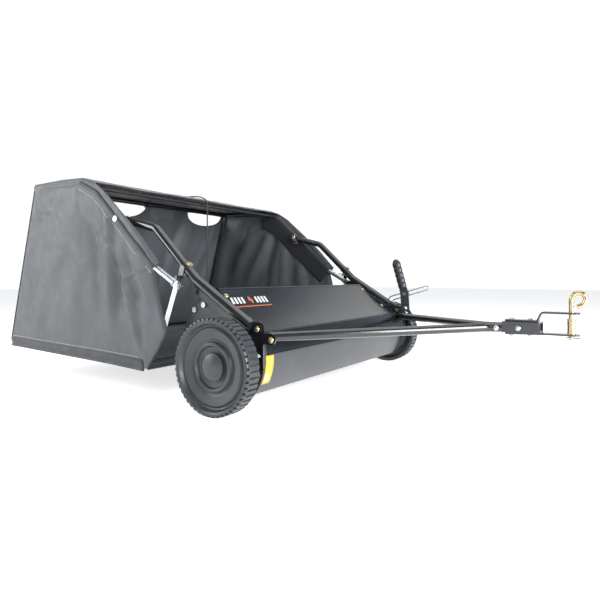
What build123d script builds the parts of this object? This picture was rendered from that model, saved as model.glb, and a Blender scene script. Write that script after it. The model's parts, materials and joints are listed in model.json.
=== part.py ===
from build123d import *
import math
import os

# Tow-behind lawn sweeper. Millimetres, +X forward to the hitch, +Y to the machine's left, +Z up.
# Every function works about the wheel axle line (x = 0) with the ground at z = 0, and save()
# moves the finished piece so that the file's origin is on the ground, mid length and mid width.

# ---- driving dimensions ---------------------------------------------------------------------
HOPPER_TAIL = 1083.0          # rearmost point of the bag behind the axle
NOSE = 810.0                  # foremost point of the hitch pin's loop ahead of the axle
AXLE_X = (HOPPER_TAIL - NOSE) / 2

WHEEL_R = 127.0               # ten inch wheel
WHEEL_W = 50.0
WHEEL_IN_Y = 501.0            # inner face of a wheel from the centre line
LUGS = 50
AXLE_R = 8.0

GEAR_MODULE = 2.5
RING_TEETH = 60
PINION_TEETH = 12
GEAR_CENTRES = GEAR_MODULE * (RING_TEETH - PINION_TEETH) / 2
PRESSURE = math.radians(20)
BACKLASH = 0.35
MESH_ANGLE = 165.0            # direction from wheel axle to brush axle, degrees from +X towards +Z

BRUSH_X = GEAR_CENTRES * math.cos(math.radians(MESH_ANGLE))
BRUSH_Z = WHEEL_R + GEAR_CENTRES * math.sin(math.radians(MESH_ANGLE))
BRUSH_R = 118.0
SHAFT_R = 7.9
RUNNING = 0.07                # radial clearance of a running fit
BRISTLE_ROWS = 6

PLATE_IN = 442.3              # inner face of a side plate from the centre line
PLATE_T = 3.0
BRACKET_IN = PLATE_IN + PLATE_T
BRACKET_OUT = BRACKET_IN + 3.0
COVER_R = 151.0               # brush cover, concentric with the brush
PANEL_HALF = 428.0
SHEET_T = 1.5

HEM_X, HEM_Z, HEM_R = -83.0, 320.0, 8.5
PANEL_SAG = 7.0
PANEL_TABS = {0.12: 32.0, 0.68: 20.0}   # share of the way down the panel: depth of the tab's leg

ARM_Y = 461.0
ARM_R = 12.7
LOWER_ARM_R = ARM_R + 1.7     # the lower arm, which the upper arm slips into
PIVOT_X, PIVOT_Z = -450.0, 538.6
ARM_BEND = (-307.0, 504.5)
ARM_JOINT = (-186.0, 394.0)
LOWER_BEND = (-139.0, 351.0)
LOWER_END = (62.0, 230.4)
BRACKET_BOLT = (76.0, 222.0)

HITCH_TUBE_R = 12.7
HITCH_START = (98.0, 428.0, 200.0)
HITCH_MEET = (560.0, 17.3, 216.0)
HITCH_END_X = 694.0
PIN_X = 770.0
PIN_R = 6.35
STRAP_W = 32.0
STRAP_T = 5.0
HITCH_CLIP = (PIN_X, 0.0, 197.5)

ARM_SWING_R = 135.0           # torque tube's distance from the brush axis
TORQUE_R = 7.0
TORQUE_ANGLE = -17.0
CARRIER_IN = 452.0
CARRIER_T = 4.0
CARRIER_SWING = 18.0

LEVER_IN = 476.0
LEVER_T = 4.0
LEVER_PIVOT = (118.0, 195.0)
CLAMP_AT = (96.0, 288.0)
LOOP_SLOPE = 16.0
LOOP_GAP = 16.5
LOOP_WIRE_R = 2.5
LOOP_Y = 487.0

BAG_Y = 497.2                 # outer face of the bag's side walls
BAG_T = 3.0
HOPPER_TUBE_R = 9.5
HOPPER_TUBE_Y = 488.0
REAR_TOP = (-917.0, 690.0)
REAR_LOW = (-1083.0, 125.0)
REAR_TUBE = (-906.6, 676.0)
FLOOR_REAR = (-1080.0, 117.0)
FLOOR_FRONT = (-310.0, 95.0)
FLOOR_T = 4.0
ROD_R = 5.0
RAIL_Y = 484.0

ROPE_R = 2.5
ROPE_ROUTE = [
    (-886, -8, 695.5), (-826, -2, 695), (-762, 10, 694.6), (-700, 17, 694), (-642, 12, 692),
    (-588, 5, 684), (-553, 1, 664), (-553, 0, 618), (-554, 0, 124), (-554, -37, 120),
]
ROPE_LOOP_R = 20.5            # the rope's loop round the rear tube
COIL_R = 27.5                 # middle of the coil's turns
COIL_HALF = 7.5               # half the width and height of the bundle of turns

BRUSH_AT = (BRUSH_X, BRUSH_Z)
SIDES = {"right": -1, "left": 1}
TIE_RODS = [(-123, 279), (-159, 264)]
ARM_PIN_R = 4.0
CLIP_R = 1.35                 # wire of every bow-tie clip
PIVOT_PIN_R = 5.0
STOP_AT = (-184.0, 357.5)
HITCH_SIDE_BOLTS = [584.0, 642.0]
HITCH_UP_BOLTS = [620.0, 668.0]
LEVER_TOP = (58.0, 418.0)
LEVER_BOLTS = [(102.0, 208.0), (100.0, 229.0)]
SIDE_TUBE_BENDS = [(-640.0, 667.0), (-552.0, 628.4), (-276.0, 385.5), (-196.0, 341.5)]
STRAP_PIN = (-184.0, 334.5)
STRAP_IN = 490.8
PIVOT_CLIP = (PIVOT_X, ARM_Y - 8, PIVOT_Z)
PIVOT_CLIP_RUN = (0.3, 0, -0.954)
STRAP_CLIP = (STRAP_PIN[0], HOPPER_TUBE_Y - 6, STRAP_PIN[1])
STRAP_CLIP_RUN = (-0.8, 0, -0.6)
FRONT_ROD = (-577.0, 650.0)
HAND_HOLES = [(-236.0, 2.0), (240.0, 474.0)]

os.makedirs("parts", exist_ok=True)


# ---- shared helpers --------------------------------------------------------------------------
def save(name, shape):
    """Write one node, moved from the axle line to the file's own origin."""
    solids = [Pos(AXLE_X, 0, 0) * solid for solid in shape.solids()]
    export_step(solids[0] if len(solids) == 1 else Compound(solids), f"parts/{name}.step")


def group(*shapes):
    """Several separate solids in one node."""
    solids = []
    for shape in shapes:
        solids.extend(shape.solids())
    return Compound(solids)


def sided(shape, side):
    """A shape built for the left, or its mirror image for the right."""
    return shape if side > 0 else mirror(shape, about=Plane.XZ)


def pair(shape):
    """A left-hand shape and its mirror image in one node."""
    return group(shape, mirror(shape, about=Plane.XZ))


def rod(start, end, radius, bore=0.0):
    """A straight round bar or tube between two points."""
    start, end = Vector(*start), Vector(*end)
    plane = Plane(origin=start, z_dir=end - start)
    length = (end - start).length
    section = Circle(radius)
    if bore:
        section = section - Circle(bore)
    return extrude(plane * section, length)


def disc_y(at, y_from, y_to, radius, bore=0.0):
    """A round piece whose axis runs along Y, through the point (x, z)."""
    return rod((at[0], y_from, at[1]), (at[0], y_to, at[1]), radius, bore)


def bent(points, radii, radius, bore=0.0):
    """A bent round bar or tube along straight runs joined by tangent arcs."""
    path = FilletPolyline(*points, radius=radii)
    section = Circle(radius)
    if bore:
        section = section - Circle(bore)
    return sweep(Plane(origin=path @ 0, z_dir=path % 0) * section, path=path)


def across(face, y_from, y_to):
    """A profile drawn in (x, z), extruded across the machine."""
    plane = Plane(origin=(0, y_from, 0), x_dir=(1, 0, 0), z_dir=(0, -1, 0))
    return extrude(plane * face, amount=-(y_to - y_from))


def plate_y(outline, y_from, y_to):
    """A flat plate from an outline of (x, z) points."""
    return across(make_face(Polyline(*outline, close=True)), y_from, y_to)


def arc_band(centre, inner, outer, start, end):
    """A curved strip's section: the part of a ring between two angles in degrees."""
    out = CenterArc(centre, outer, start, end - start)
    back = CenterArc(centre, inner, start, end - start)
    return make_face([out, Line(out @ 1, back @ 1), back, Line(back @ 0, out @ 0)])


def capsule(start, end, half_width):
    """A flat bar's outline with round ends between two (x, z) points."""
    a, b = Vector(*start), Vector(*end)
    middle = (a + b) * 0.5
    turn = math.degrees(math.atan2(b.Y - a.Y, b.X - a.X))
    return Pos(middle.X, middle.Y) * Rot(0, 0, turn) * SlotCenterToCenter((b - a).length, 2 * half_width)


def polar(centre, radius, turn):
    """The (x, z) point at a distance and an angle in degrees from a centre."""
    angle = math.radians(turn)
    return (centre[0] + radius * math.cos(angle), centre[1] + radius * math.sin(angle))


def along(start, end, distance):
    """The (x, z) point a distance along a line."""
    run = math.hypot(end[0] - start[0], end[1] - start[1])
    share = distance / run
    return (start[0] + (end[0] - start[0]) * share, start[1] + (end[1] - start[1]) * share)


def ring_of(radius, count, face, first_turn=0.0):
    """Copies of a face spaced evenly round a circle, as one sketch."""
    turns = [first_turn + 360 * k / count for k in range(count)]
    return Sketch() + [Rot(0, 0, turn) * Pos(radius, 0) * face for turn in turns]


def bolt(at, direction, grip, shank=4.0, head=7.5, head_h=5.0):
    """A domed bolt: head at a point, shank along a direction through the grip, then its nut."""
    plane = Plane(origin=at, z_dir=Vector(*direction))
    shaft = extrude(plane * Circle(shank), grip + head_h + 2)
    dome_r = (head ** 2 + head_h ** 2) / (2 * head_h)
    centre = plane.origin + plane.z_dir * (dome_r - head_h)
    keep = extrude(plane * Circle(head + 1), -head_h - 1)
    cap = (Pos(*centre) * Sphere(dome_r)) & keep
    nut_plane = Plane(origin=plane.origin + plane.z_dir * grip, z_dir=plane.z_dir)
    nut = extrude(nut_plane * RegularPolygon(head, 6), head_h)
    return shaft + cap + nut


def hairpin(at, run, side, pin_r, size=1.0):
    """A bow-tie clip: one straight leg through a pin, a round eye and one leg round the pin."""
    u, v = Vector(*run), Vector(*side)
    o = Vector(*at)
    hug = pin_r + CLIP_R + 0.3
    eye = [(20, 0), (31, 4), (29, 15), (20, 13)]
    shape = [(-16 * size, 0)] + [(a * size, b * size) for a, b in eye]
    shape += [(9 * size, hug + 1), (1 * size, hug), (-7 * size, hug + 3), (-14 * size, hug + 4.5)]
    points = [o + u * a + v * b for a, b in shape]
    radii = [4 * size, 5 * size, 4 * size, 5 * size, 8 * size, 7 * size, 5 * size]
    return bent(points, radii, CLIP_R)


def clip_hole(at, run):
    """The cross hole in a pin for a clip's straight leg."""
    reach = Vector(*run).normalized() * 12
    return rod(tuple(Vector(*at) - reach), tuple(Vector(*at) + reach), CLIP_R + 0.15)


# ---- housing ---------------------------------------------------------------------------------
def swing_slot(y_from, y_to):
    """The arc slot that lets the torque tube swing about the brush axis."""
    low = TORQUE_ANGLE - CARRIER_SWING - 1
    high = TORQUE_ANGLE + CARRIER_SWING + 1
    half = TORQUE_R + 1.2
    slot = across(arc_band(BRUSH_AT, ARM_SWING_R - half, ARM_SWING_R + half, low, high), y_from, y_to)
    for turn in (low, high):
        slot = slot + disc_y(polar(BRUSH_AT, ARM_SWING_R, turn), y_from, y_to, half)
    return slot


def side_plate():
    """Left side plate: an arched plate with its bearing hole, swing slot and fixing holes."""
    front_top = polar(BRUSH_AT, COVER_R + 2.5, 24)
    front_low = polar(BRUSH_AT, COVER_R + 2.5, -41)
    front = CenterArc(BRUSH_AT, COVER_R + 2.5, -41, 65)
    apex_back, apex_front = (-129, 301), (-105, 304)
    edges = [
        front,
        Line(front_top, apex_front),
        ThreePointArc(apex_front, (-118, 309), apex_back),
        Polyline(apex_back, (-190, 239), (-214, 168), (-211, 104), (-184, 66), (-150, 46), front_low),
    ]
    plate = across(make_face(edges), PLATE_IN, BRACKET_IN)
    plate = plate - disc_y(BRUSH_AT, PLATE_IN - 1, BRACKET_IN + 1, 14.0)
    for at in TIE_RODS:
        plate = plate - disc_y(at, PLATE_IN - 1, BRACKET_IN + 1, 4.2)
    return plate - swing_slot(PLATE_IN - 1, BRACKET_IN + 1)


def panel_fold():
    """Where the top panel meets the lap over the brush cover."""
    return polar(BRUSH_AT, COVER_R + 0.4, 27)


def panel_arc():
    """Centre (x, z) and outer radius of the arc that the hollow panel follows."""
    fold = panel_fold()
    run, fall = fold[0] - HEM_X, HEM_Z - fold[1]
    chord = math.hypot(run, fall)
    radius = (chord ** 2 / 4 + PANEL_SAG ** 2) / (2 * PANEL_SAG)
    lift = (radius - PANEL_SAG) / chord
    centre = ((HEM_X + fold[0]) / 2 + fall * lift, (HEM_Z + fold[1]) / 2 + run * lift)
    return centre, radius


def panel_point(share, lift):
    """A point over the panel's hollow top and the way up from it, by share from hem to fold."""
    (centre_x, centre_z), radius = panel_arc()
    fold = panel_fold()
    x = HEM_X + (fold[0] - HEM_X) * share
    z = HEM_Z + (fold[1] - HEM_Z) * share
    reach = math.hypot(centre_x - x, centre_z - z)
    up = ((centre_x - x) / reach, (centre_z - z) / reach)
    rise = radius - SHEET_T - lift
    return (centre_x - up[0] * rise, centre_z - up[1] * rise), up


def panel_tab(share, depth):
    """An angle under the panel's left end that carries it on the side plate."""
    (x, z), up = panel_point(share, -SHEET_T)
    turn = math.degrees(math.atan2(-up[0], up[1]))
    shelf = Pos(x, z) * Rot(0, 0, turn) * Pos(0, -1.4) * Rectangle(26, 3)
    leg = Pos(x, z - 3 - depth / 2) * Rectangle(22, depth)
    return across(shelf, PANEL_HALF - 24, PLATE_IN) + across(leg, PLATE_IN - 3, PLATE_IN)


def panel_screw(share):
    """The left screw through the panel into its tab."""
    (x, z), up = panel_point(share, 0.3)
    return bolt((x, PANEL_HALF - 12, z), (-up[0], 0, -up[1]), 5.4, 3.0, 8.0, 4.0)


def upper_panel():
    """Concave top panel with a rolled rear hem, a front lip over the brush cover and end tabs."""
    lap_r = COVER_R + 0.4
    fold = panel_fold()
    centre, radius = panel_arc()
    start = math.degrees(math.atan2(HEM_Z - centre[1], HEM_X - centre[0]))
    end = math.degrees(math.atan2(fold[1] - centre[1], fold[0] - centre[0]))
    half = PANEL_HALF
    panel = across(arc_band(centre, radius - SHEET_T, radius, start, end), -half, half)
    panel = panel + across(arc_band(BRUSH_AT, lap_r, lap_r + SHEET_T, 4, 27.6), -half, half)
    panel = panel + disc_y((fold[0] + 0.2, fold[1] - 0.2), -half, half, 2.4)
    panel = panel + disc_y(polar(BRUSH_AT, lap_r + 2.4, 4), -half, half, 2.4)
    hem_at = (HEM_X - HEM_R + 1, HEM_Z - 2)
    panel = panel + disc_y(hem_at, -half, half, HEM_R, HEM_R - SHEET_T)
    for share, depth in PANEL_TABS.items():
        tab = panel_tab(share, depth)
        panel = panel + tab + mirror(tab, about=Plane.XZ)
        (x, z), up = panel_point(share, 0)
        hole = rod((x - up[0] * 12, PANEL_HALF - 12, z - up[1] * 12),
                   (x + up[0] * 6, PANEL_HALF - 12, z + up[1] * 6), 3.1)
        panel = panel - hole - mirror(hole, about=Plane.XZ)
    return panel


def brush_cover():
    """Lower front cover, concentric with the brush, with a rolled bottom edge."""
    half = PLATE_IN - 0.3
    sheet = across(arc_band(BRUSH_AT, COVER_R - SHEET_T, COVER_R, -39, 16), -half, half)
    bead = disc_y(polar(BRUSH_AT, COVER_R - 3.2, -39.5), -half, half, 3.0)
    return sheet + bead


def front_bracket():
    """Left front bracket: an upright with a round top, a forward ear and a turned front edge."""
    upright = across(capsule((76, 120), BRACKET_BOLT, 19), BRACKET_IN, BRACKET_OUT)
    ear = across(capsule((80, 197), (LEVER_PIVOT[0], 197), 15), BRACKET_IN, BRACKET_OUT)
    edge = across(Pos(94, 150) * Rectangle(3, 60), BRACKET_IN, BRACKET_OUT + 3)
    plate = upright + ear + edge
    plate = plate - disc_y(BRACKET_BOLT, BRACKET_IN - 1, BRACKET_OUT + 1, 4.2)
    plate = plate - disc_y(LEVER_PIVOT, BRACKET_IN - 1, BRACKET_OUT + 1, 5.2)
    return plate - swing_slot(BRACKET_IN - 1, BRACKET_OUT + 4)


def arm_bracket():
    """Left arm bracket: a flat bar under the lower arm, bolted to the side plate."""
    bar = across(capsule((-146, 326), (38, 215), 16), BRACKET_IN, BRACKET_OUT)
    for at in TIE_RODS:
        bar = bar - disc_y(at, BRACKET_IN - 1, BRACKET_OUT + 1, 10.0)
    return bar


def arm_tube():
    """Left upper arm: a bent tube with a flattened, drilled end at the hopper pivot."""
    start = along((PIVOT_X, PIVOT_Z), ARM_BEND, 24)
    end = along(ARM_JOINT, LOWER_BEND, 34)
    points = [(start[0], ARM_Y, start[1]), (ARM_BEND[0], ARM_Y, ARM_BEND[1]),
              (end[0], ARM_Y, end[1])]
    tube = bent(points, [45], ARM_R, ARM_R - 1.6)
    tongue = across(capsule((PIVOT_X, PIVOT_Z), along((PIVOT_X, PIVOT_Z), ARM_BEND, 34), 12.4),
                    ARM_Y - 3, ARM_Y + 3)
    neck = rod((start[0], ARM_Y, start[1]), tuple(tube_point(start, ARM_BEND, 8)), ARM_R - 1)
    arm = tube + tongue + neck
    arm = arm - disc_y((PIVOT_X, PIVOT_Z), ARM_Y - 4, ARM_Y + 4, PIVOT_PIN_R + RUNNING)
    return arm - pin_hole(ARM_R + 6)


def tube_point(start, end, distance):
    """A point a distance along a run of the arm, in the arm's own plane."""
    x, z = along(start, end, distance)
    return (x, ARM_Y, z)


def pin_hole(reach):
    """The drilled way for the clevis pin that joins the two lengths of the left arm."""
    low, high = arm_pin_ends(reach)
    return rod(low, high, ARM_PIN_R)


def arm_pin_ends(reach):
    """The two ends of a line square to the arm through its joint."""
    run = (LOWER_BEND[0] - ARM_JOINT[0], LOWER_BEND[1] - ARM_JOINT[1])
    length = math.hypot(*run)
    normal = (-run[1] / length, run[0] / length)
    at = along(ARM_JOINT, LOWER_BEND, 17)
    low = (at[0] - normal[0] * reach, ARM_Y, at[1] - normal[1] * reach)
    high = (at[0] + normal[0] * reach, ARM_Y, at[1] + normal[1] * reach)
    return low, high


def lower_arm():
    """Left lower arm: a larger tube that the upper arm slips into, flattened at its foot."""
    outer = LOWER_ARM_R
    foot = (LOWER_END[0], ARM_Y, LOWER_END[1])
    points = [tube_point(ARM_JOINT, ARM_BEND, 3), (LOWER_BEND[0], ARM_Y, LOWER_BEND[1]), foot]
    tube = bent(points, [60], outer, ARM_R + 0.2)
    tongue = across(capsule(along(BRACKET_BOLT, LOWER_BEND, 34), BRACKET_BOLT, 13), BRACKET_OUT,
                    BRACKET_OUT + 5)
    plug = rod(tube_point(LOWER_END, LOWER_BEND, 12), foot, outer - 1)
    arm = tube + plug + tongue
    arm = arm - across(Pos(*BRACKET_BOLT) * Circle(34), BRACKET_IN - 1, BRACKET_OUT)
    arm = arm - disc_y(BRACKET_BOLT, BRACKET_OUT - 1, BRACKET_OUT + 6, 4.2)
    return arm - pin_hole(outer + 6)


def arm_pins():
    """Clevis pins with domed heads and clips that hold the two lengths of each arm together."""
    low, high = arm_pin_ends(ARM_R + 2.2)
    far, _ = arm_pin_ends(ARM_R + 14)
    clip_at, _ = arm_pin_ends(ARM_R + 9)
    head_plane = Plane(origin=high, z_dir=Vector(*high) - Vector(*low))
    pin = rod(far, high, ARM_PIN_R) + extrude(head_plane * Circle(8.5), 4)
    back = Vector(ARM_JOINT[0] - LOWER_BEND[0], 0, ARM_JOINT[1] - LOWER_BEND[1]).normalized()
    clip = hairpin(clip_at, (0, -1, 0), tuple(back), ARM_PIN_R, 0.75)
    return pair(group(pin - clip_hole(clip_at, (0, 1, 0)), clip))


def hopper_stops():
    """Lugs under the arms that the hopper's side tubes come to rest against."""
    inner = ARM_Y + LOWER_ARM_R - 0.05
    lug = across(capsule((-178, 383), STOP_AT, 9), inner, inner + 3)
    peg = disc_y(STOP_AT, inner + 3, HOPPER_TUBE_Y + 7, 5.0)
    return pair(lug + peg)


def tie_rods():
    """Spacer rods between the side plates, with the bolt heads outside them."""
    rods = []
    for at in TIE_RODS:
        spacer = disc_y(at, -PLATE_IN, PLATE_IN, 6.0)
        ends = disc_y(at, -BRACKET_IN - 1, BRACKET_IN + 1, 4.0)
        rivet = disc_y(at, BRACKET_IN, BRACKET_IN + 4.5, 8.0)
        rods.append(spacer + ends + rivet + mirror(rivet, about=Plane.XZ))
    return group(*rods)


def brush_bearings():
    """Flanged bushes in the side plates that the brush shaft turns in."""
    sleeve = disc_y(BRUSH_AT, PLATE_IN - 6, BRACKET_OUT, 14.0)
    flange = disc_y(BRUSH_AT, BRACKET_IN, BRACKET_OUT, 22.0)
    bore = disc_y(BRUSH_AT, PLATE_IN - 7, BRACKET_OUT + 1, SHAFT_R + RUNNING)
    return pair(sleeve + flange - bore)


def housing_bolts():
    """Screws of the top panel, bolts of the arm feet and the drawbar's foot, and the lever pivot."""
    foot_at = (BRACKET_BOLT[0], BRACKET_OUT + 5, BRACKET_BOLT[1])
    foot = bolt(foot_at, (0, -1, 0), 8.2, 4.0, 8.0, 5.0)
    both = [panel_screw(share) for share in PANEL_TABS] + [foot]
    solids = [solid for shape in both for solid in (shape, mirror(shape, about=Plane.XZ))]
    drawbar = bolt((LEVER_PIVOT[0], -BRACKET_OUT, LEVER_PIVOT[1]), (0, 1, 0), 9.0, 5.0, 8.5, 5.0)
    return group(*solids, lever_pivot_bolt(), drawbar)


def lever_pivot_bolt():
    """Shouldered bolt that holds the left drawbar tube and that the height lever turns on."""
    shoulder = disc_y(LEVER_PIVOT, BRACKET_OUT, LEVER_IN - 0.3, 8.0)
    journal = disc_y(LEVER_PIVOT, LEVER_IN - 0.3, LEVER_IN + LEVER_T + 0.3, 5.0)
    cap = disc_y(LEVER_PIVOT, LEVER_IN + LEVER_T + 0.3, LEVER_IN + LEVER_T + 4.5, 8.5)
    tail = disc_y(LEVER_PIVOT, BRACKET_OUT - 16, BRACKET_OUT, 5.0)
    nut = across(Pos(*LEVER_PIVOT) * RegularPolygon(8.5, 6), BRACKET_OUT - 14, BRACKET_OUT - 9)
    return shoulder + journal + cap + tail + nut


def guide_loop():
    """Bent wire loop that the lever's clamp bolt slides in, welded to the left lower arm."""
    slope = math.radians(LOOP_SLOPE)
    u = (math.cos(slope), math.sin(slope))
    v = (-u[1], u[0])

    def at(run, side):
        return (CLAMP_AT[0] + u[0] * run + v[0] * side, LOOP_Y,
                CLAMP_AT[1] + u[1] * run + v[1] * side - 1.9)

    half = LOOP_GAP / 2
    front, back = 100.0, -66.0
    foot_y = ARM_Y + LOWER_ARM_R + 0.1
    high_x, high_z = 14.0, 259.2
    low_x, low_z = 40.0, 243.6
    points = [(high_x, foot_y, high_z), (high_x, LOOP_Y, high_z), at(back, half),
              at(front - 2, half), at(front + 8, 0), at(front - 2, -half), at(back + 8, -half),
              (low_x, LOOP_Y, low_z), (low_x, foot_y, low_z)]
    return bent(points, [5, 7, 6.5, 5, 6.5, 7, 5], LOOP_WIRE_R)


# ---- drawbar ---------------------------------------------------------------------------------
def hitch_tube():
    """Left drawbar tube, from the front bracket to the clamp, bent parallel at the front."""
    points = [HITCH_START, HITCH_MEET, (HITCH_END_X, HITCH_MEET[1], HITCH_MEET[2] + 4)]
    tube = bent(points, [40], HITCH_TUBE_R, HITCH_TUBE_R - 1.6)
    for x in HITCH_SIDE_BOLTS:
        tube = tube - disc_y((x, hitch_z(x)), 0, 40, 4.2)
    tongue = across(capsule((100, 199), LEVER_PIVOT, 12), BRACKET_IN - 5.8, BRACKET_IN)
    return tube + tongue - disc_y(LEVER_PIVOT, BRACKET_IN - 7, BRACKET_IN + 1, 5.2)


def hitch_z(x):
    """Height of the drawbar tubes' middle along their parallel run."""
    return HITCH_MEET[2] + 4 * (x - HITCH_MEET[0]) / (HITCH_END_X - HITCH_MEET[0])


def hitch_channel():
    """Folded channel over the two tubes' front ends."""
    outer = across(Pos(648, 221) * Rectangle(96, 30), -33.2, 33.2)
    inner = across(Pos(648, 218) * Rectangle(98, 30.6), -30.6, 30.6)
    channel = outer - inner
    for x in HITCH_SIDE_BOLTS[1:]:
        channel = channel - disc_y((x, hitch_z(x)), -40, 40, 4.2)
    for x in HITCH_UP_BOLTS:
        channel = channel - rod((x, 0, 190), (x, 0, 260), 4.2)
    return channel


def hitch_strap(upper):
    """Upper, cranked strap or lower, flat strap that the hitch pin drops through."""
    if upper:
        path, radii = [(604, 238.6), (688, 238.6), (699, 262.6), (791, 262.6)], [7, 9]
    else:
        path, radii = [(604, lower_strap_z(604)), (720, lower_strap_z(720)), (791, 205.1)], [60]
    line = FilletPolyline(*path, radius=radii)
    strap = across(trace(line, STRAP_T), -STRAP_W / 2, STRAP_W / 2)
    nose = rod((PIN_X + 5, 0, 190), (PIN_X + 5, 0, 280), STRAP_W / 2)
    tail = across(Pos(PIN_X - 80, 232) * Rectangle(170, 90), -STRAP_W, STRAP_W)
    strap = strap & (nose + tail)
    strap = strap - rod((PIN_X, 0, 190), (PIN_X, 0, 280), PIN_R + RUNNING)
    for x in HITCH_UP_BOLTS:
        strap = strap - rod((x, 0, 190), (x, 0, 260), 4.2)
    return strap


def lower_strap_z(x):
    """Height of the lower strap's middle under the drawbar tubes, which it runs along."""
    return 205.1 - 0.03 * (720 - x)


def hitch_bolts():
    """Two cross bolts through the tubes and two upright bolts through the straps."""
    bolts = []
    for x in HITCH_SIDE_BOLTS:
        reach = HITCH_MEET[1] + HITCH_TUBE_R + 0.2 if x == HITCH_SIDE_BOLTS[0] else 33.4
        bolts.append(bolt((x, -reach, hitch_z(x)), (0, 1, 0), 2 * reach, 4.0, 7.5, 5.0))
    for x in HITCH_UP_BOLTS:
        grip = 241.1 - lower_strap_z(x) + STRAP_T / 2 + 0.2
        bolts.append(bolt((x, 0, 241.1), (0, 0, -1), grip, 4.0, 7.0, 4.5))
    return group(*bolts)


def hitch_spacer():
    """Tube on the hitch pin that sets the gap for the tractor's plate."""
    return rod((PIN_X, 0, 207.7), (PIN_X, 0, 248), 10.0, PIN_R + RUNNING)


def hitch_pin():
    """Drop pin bent from one bar, with a closed loop to pull it by."""
    eye_x, eye_z, eye_r = 789.2, 299.0, 15.6
    points = [(PIN_X, 0, 193), (PIN_X, 0, 302), (PIN_X + 10, 0, eye_z + eye_r + 2),
              (eye_x + 8, 0, eye_z + eye_r), (eye_x + eye_r, 0, eye_z + 2),
              (eye_x + 8, 0, eye_z - 14), (eye_x - 5, 0, eye_z - 19)]
    bar = bent(points, [16, 9, 9, 9, 9], PIN_R)
    return bar - clip_hole(HITCH_CLIP, (1, 0, 0))


def hitch_hairpin():
    """Bow-tie clip through the hitch pin below the lower strap."""
    return hairpin(HITCH_CLIP, (1, 0, 0), (0, -1, 0), PIN_R, 0.8)


# ---- height carrier, wheels and brush ----------------------------------------------------------
def wheel_arm():
    """Left wheel arm: it turns about the brush shaft and carries the wheel and the torque tube."""
    tube_at = polar(BRUSH_AT, ARM_SWING_R, TORQUE_ANGLE)
    long_bar = across(capsule(BRUSH_AT, tube_at, 15), CARRIER_IN, CARRIER_IN + CARRIER_T)
    wheel_bar = across(capsule(BRUSH_AT, (0, WHEEL_R), 20), CARRIER_IN, CARRIER_IN + CARRIER_T)
    hub = disc_y(BRUSH_AT, CARRIER_IN - 3, CARRIER_IN + 12, 16)
    arm = long_bar + wheel_bar + hub
    arm = arm - disc_y(BRUSH_AT, CARRIER_IN - 4, CARRIER_IN + 13, SHAFT_R + RUNNING)
    arm = arm - disc_y((0, WHEEL_R), CARRIER_IN - 1, CARRIER_IN + 5, AXLE_R)
    return arm - disc_y(tube_at, CARRIER_IN - 1, CARRIER_IN + 5, TORQUE_R - 2)


def torque_tube():
    """Tube across the front that makes both wheel arms swing together."""
    at = polar(BRUSH_AT, ARM_SWING_R, TORQUE_ANGLE)
    tube = disc_y(at, -CARRIER_IN, CARRIER_IN, TORQUE_R, TORQUE_R - 2)
    end = disc_y(at, CARRIER_IN - 8, CARRIER_IN + CARRIER_T + 3, TORQUE_R - 2)
    return tube + end + mirror(end, about=Plane.XZ)


def stub_axles():
    """Stub axles in the wheel arms, each with a shoulder, a washer and a cross pin."""
    axle = disc_y((0, WHEEL_R), CARRIER_IN - 4, WHEEL_IN_Y + 41, AXLE_R)
    nut = across(Pos(0, WHEEL_R) * RegularPolygon(13, 6), CARRIER_IN - 4, CARRIER_IN)
    shoulder = disc_y((0, WHEEL_R), CARRIER_IN + CARRIER_T, WHEEL_IN_Y + 1.6, 12.0)
    washer = disc_y((0, WHEEL_R), WHEEL_IN_Y + 34, WHEEL_IN_Y + 36, 14.0)
    cross = rod((-13, WHEEL_IN_Y + 38, WHEEL_R), (13, WHEEL_IN_Y + 38, WHEEL_R), 1.6)
    return pair(axle + nut + shoulder + washer + cross)


def wheel():
    """Left wheel: dished one-piece moulding with a lugged tread and a seat for the ring gear."""
    r = WHEEL_R
    bore = AXLE_R + RUNNING
    profile = [
        (bore, 2), (24, 2), (24, 27), (80, 27), (80, 15), (88, 15), (88, 0.6), (93, 0.6),
        (93, 27), (112, 27), (112, 3), (115, 0), (r - 3, 0), (r, 3), (r, 46), (r - 1.5, 49),
        (r - 5, 50), (117.5, 50), (113, 47), (107.5, 38), (104, 36.4), (100.5, 39.5), (97, 41.5),
        (93, 40.5), (75, 36.5), (70, 34), (66.5, 34), (63.5, 40), (60, 42), (55.5, 41),
        (52, 35), (43, 33.5), (bore, 33.5),
    ]
    section = make_face(Polyline(*[(a, WHEEL_IN_Y + w) for a, w in profile], close=True))
    body = revolve(section, Axis.Y, 360)
    pitch = 360 / LUGS
    long_cuts = ring_of(r, LUGS, Rectangle(10, 5.6))
    rim_notches = ring_of(r + 1, LUGS, Rectangle(13, 6.4), pitch / 2)
    body = body - across(long_cuts, WHEEL_IN_Y - 1, WHEEL_IN_Y + 39)
    body = body - across(rim_notches, WHEEL_IN_Y + 42, WHEEL_IN_Y + WHEEL_W + 1)
    return Pos(0, 0, WHEEL_R) * body


def hub_cap():
    """Left hub cap: a shallow dome snapped into the wheel's centre recess."""
    dome_r, half = 120.0, 38.0
    edge = WHEEL_IN_Y + 33.5
    rim = across(Pos(0, WHEEL_R) * (Circle(half) - Circle(half - 2.2)), edge, edge + 8.5)
    centre_y = edge + 12.5 - dome_r
    ball = Pos(0, centre_y, WHEEL_R) * (Sphere(dome_r) - Sphere(dome_r - 2.2))
    crown = ball & disc_y((0, WHEEL_R), edge + 4, edge + 14, half)
    return rim + crown


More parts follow.
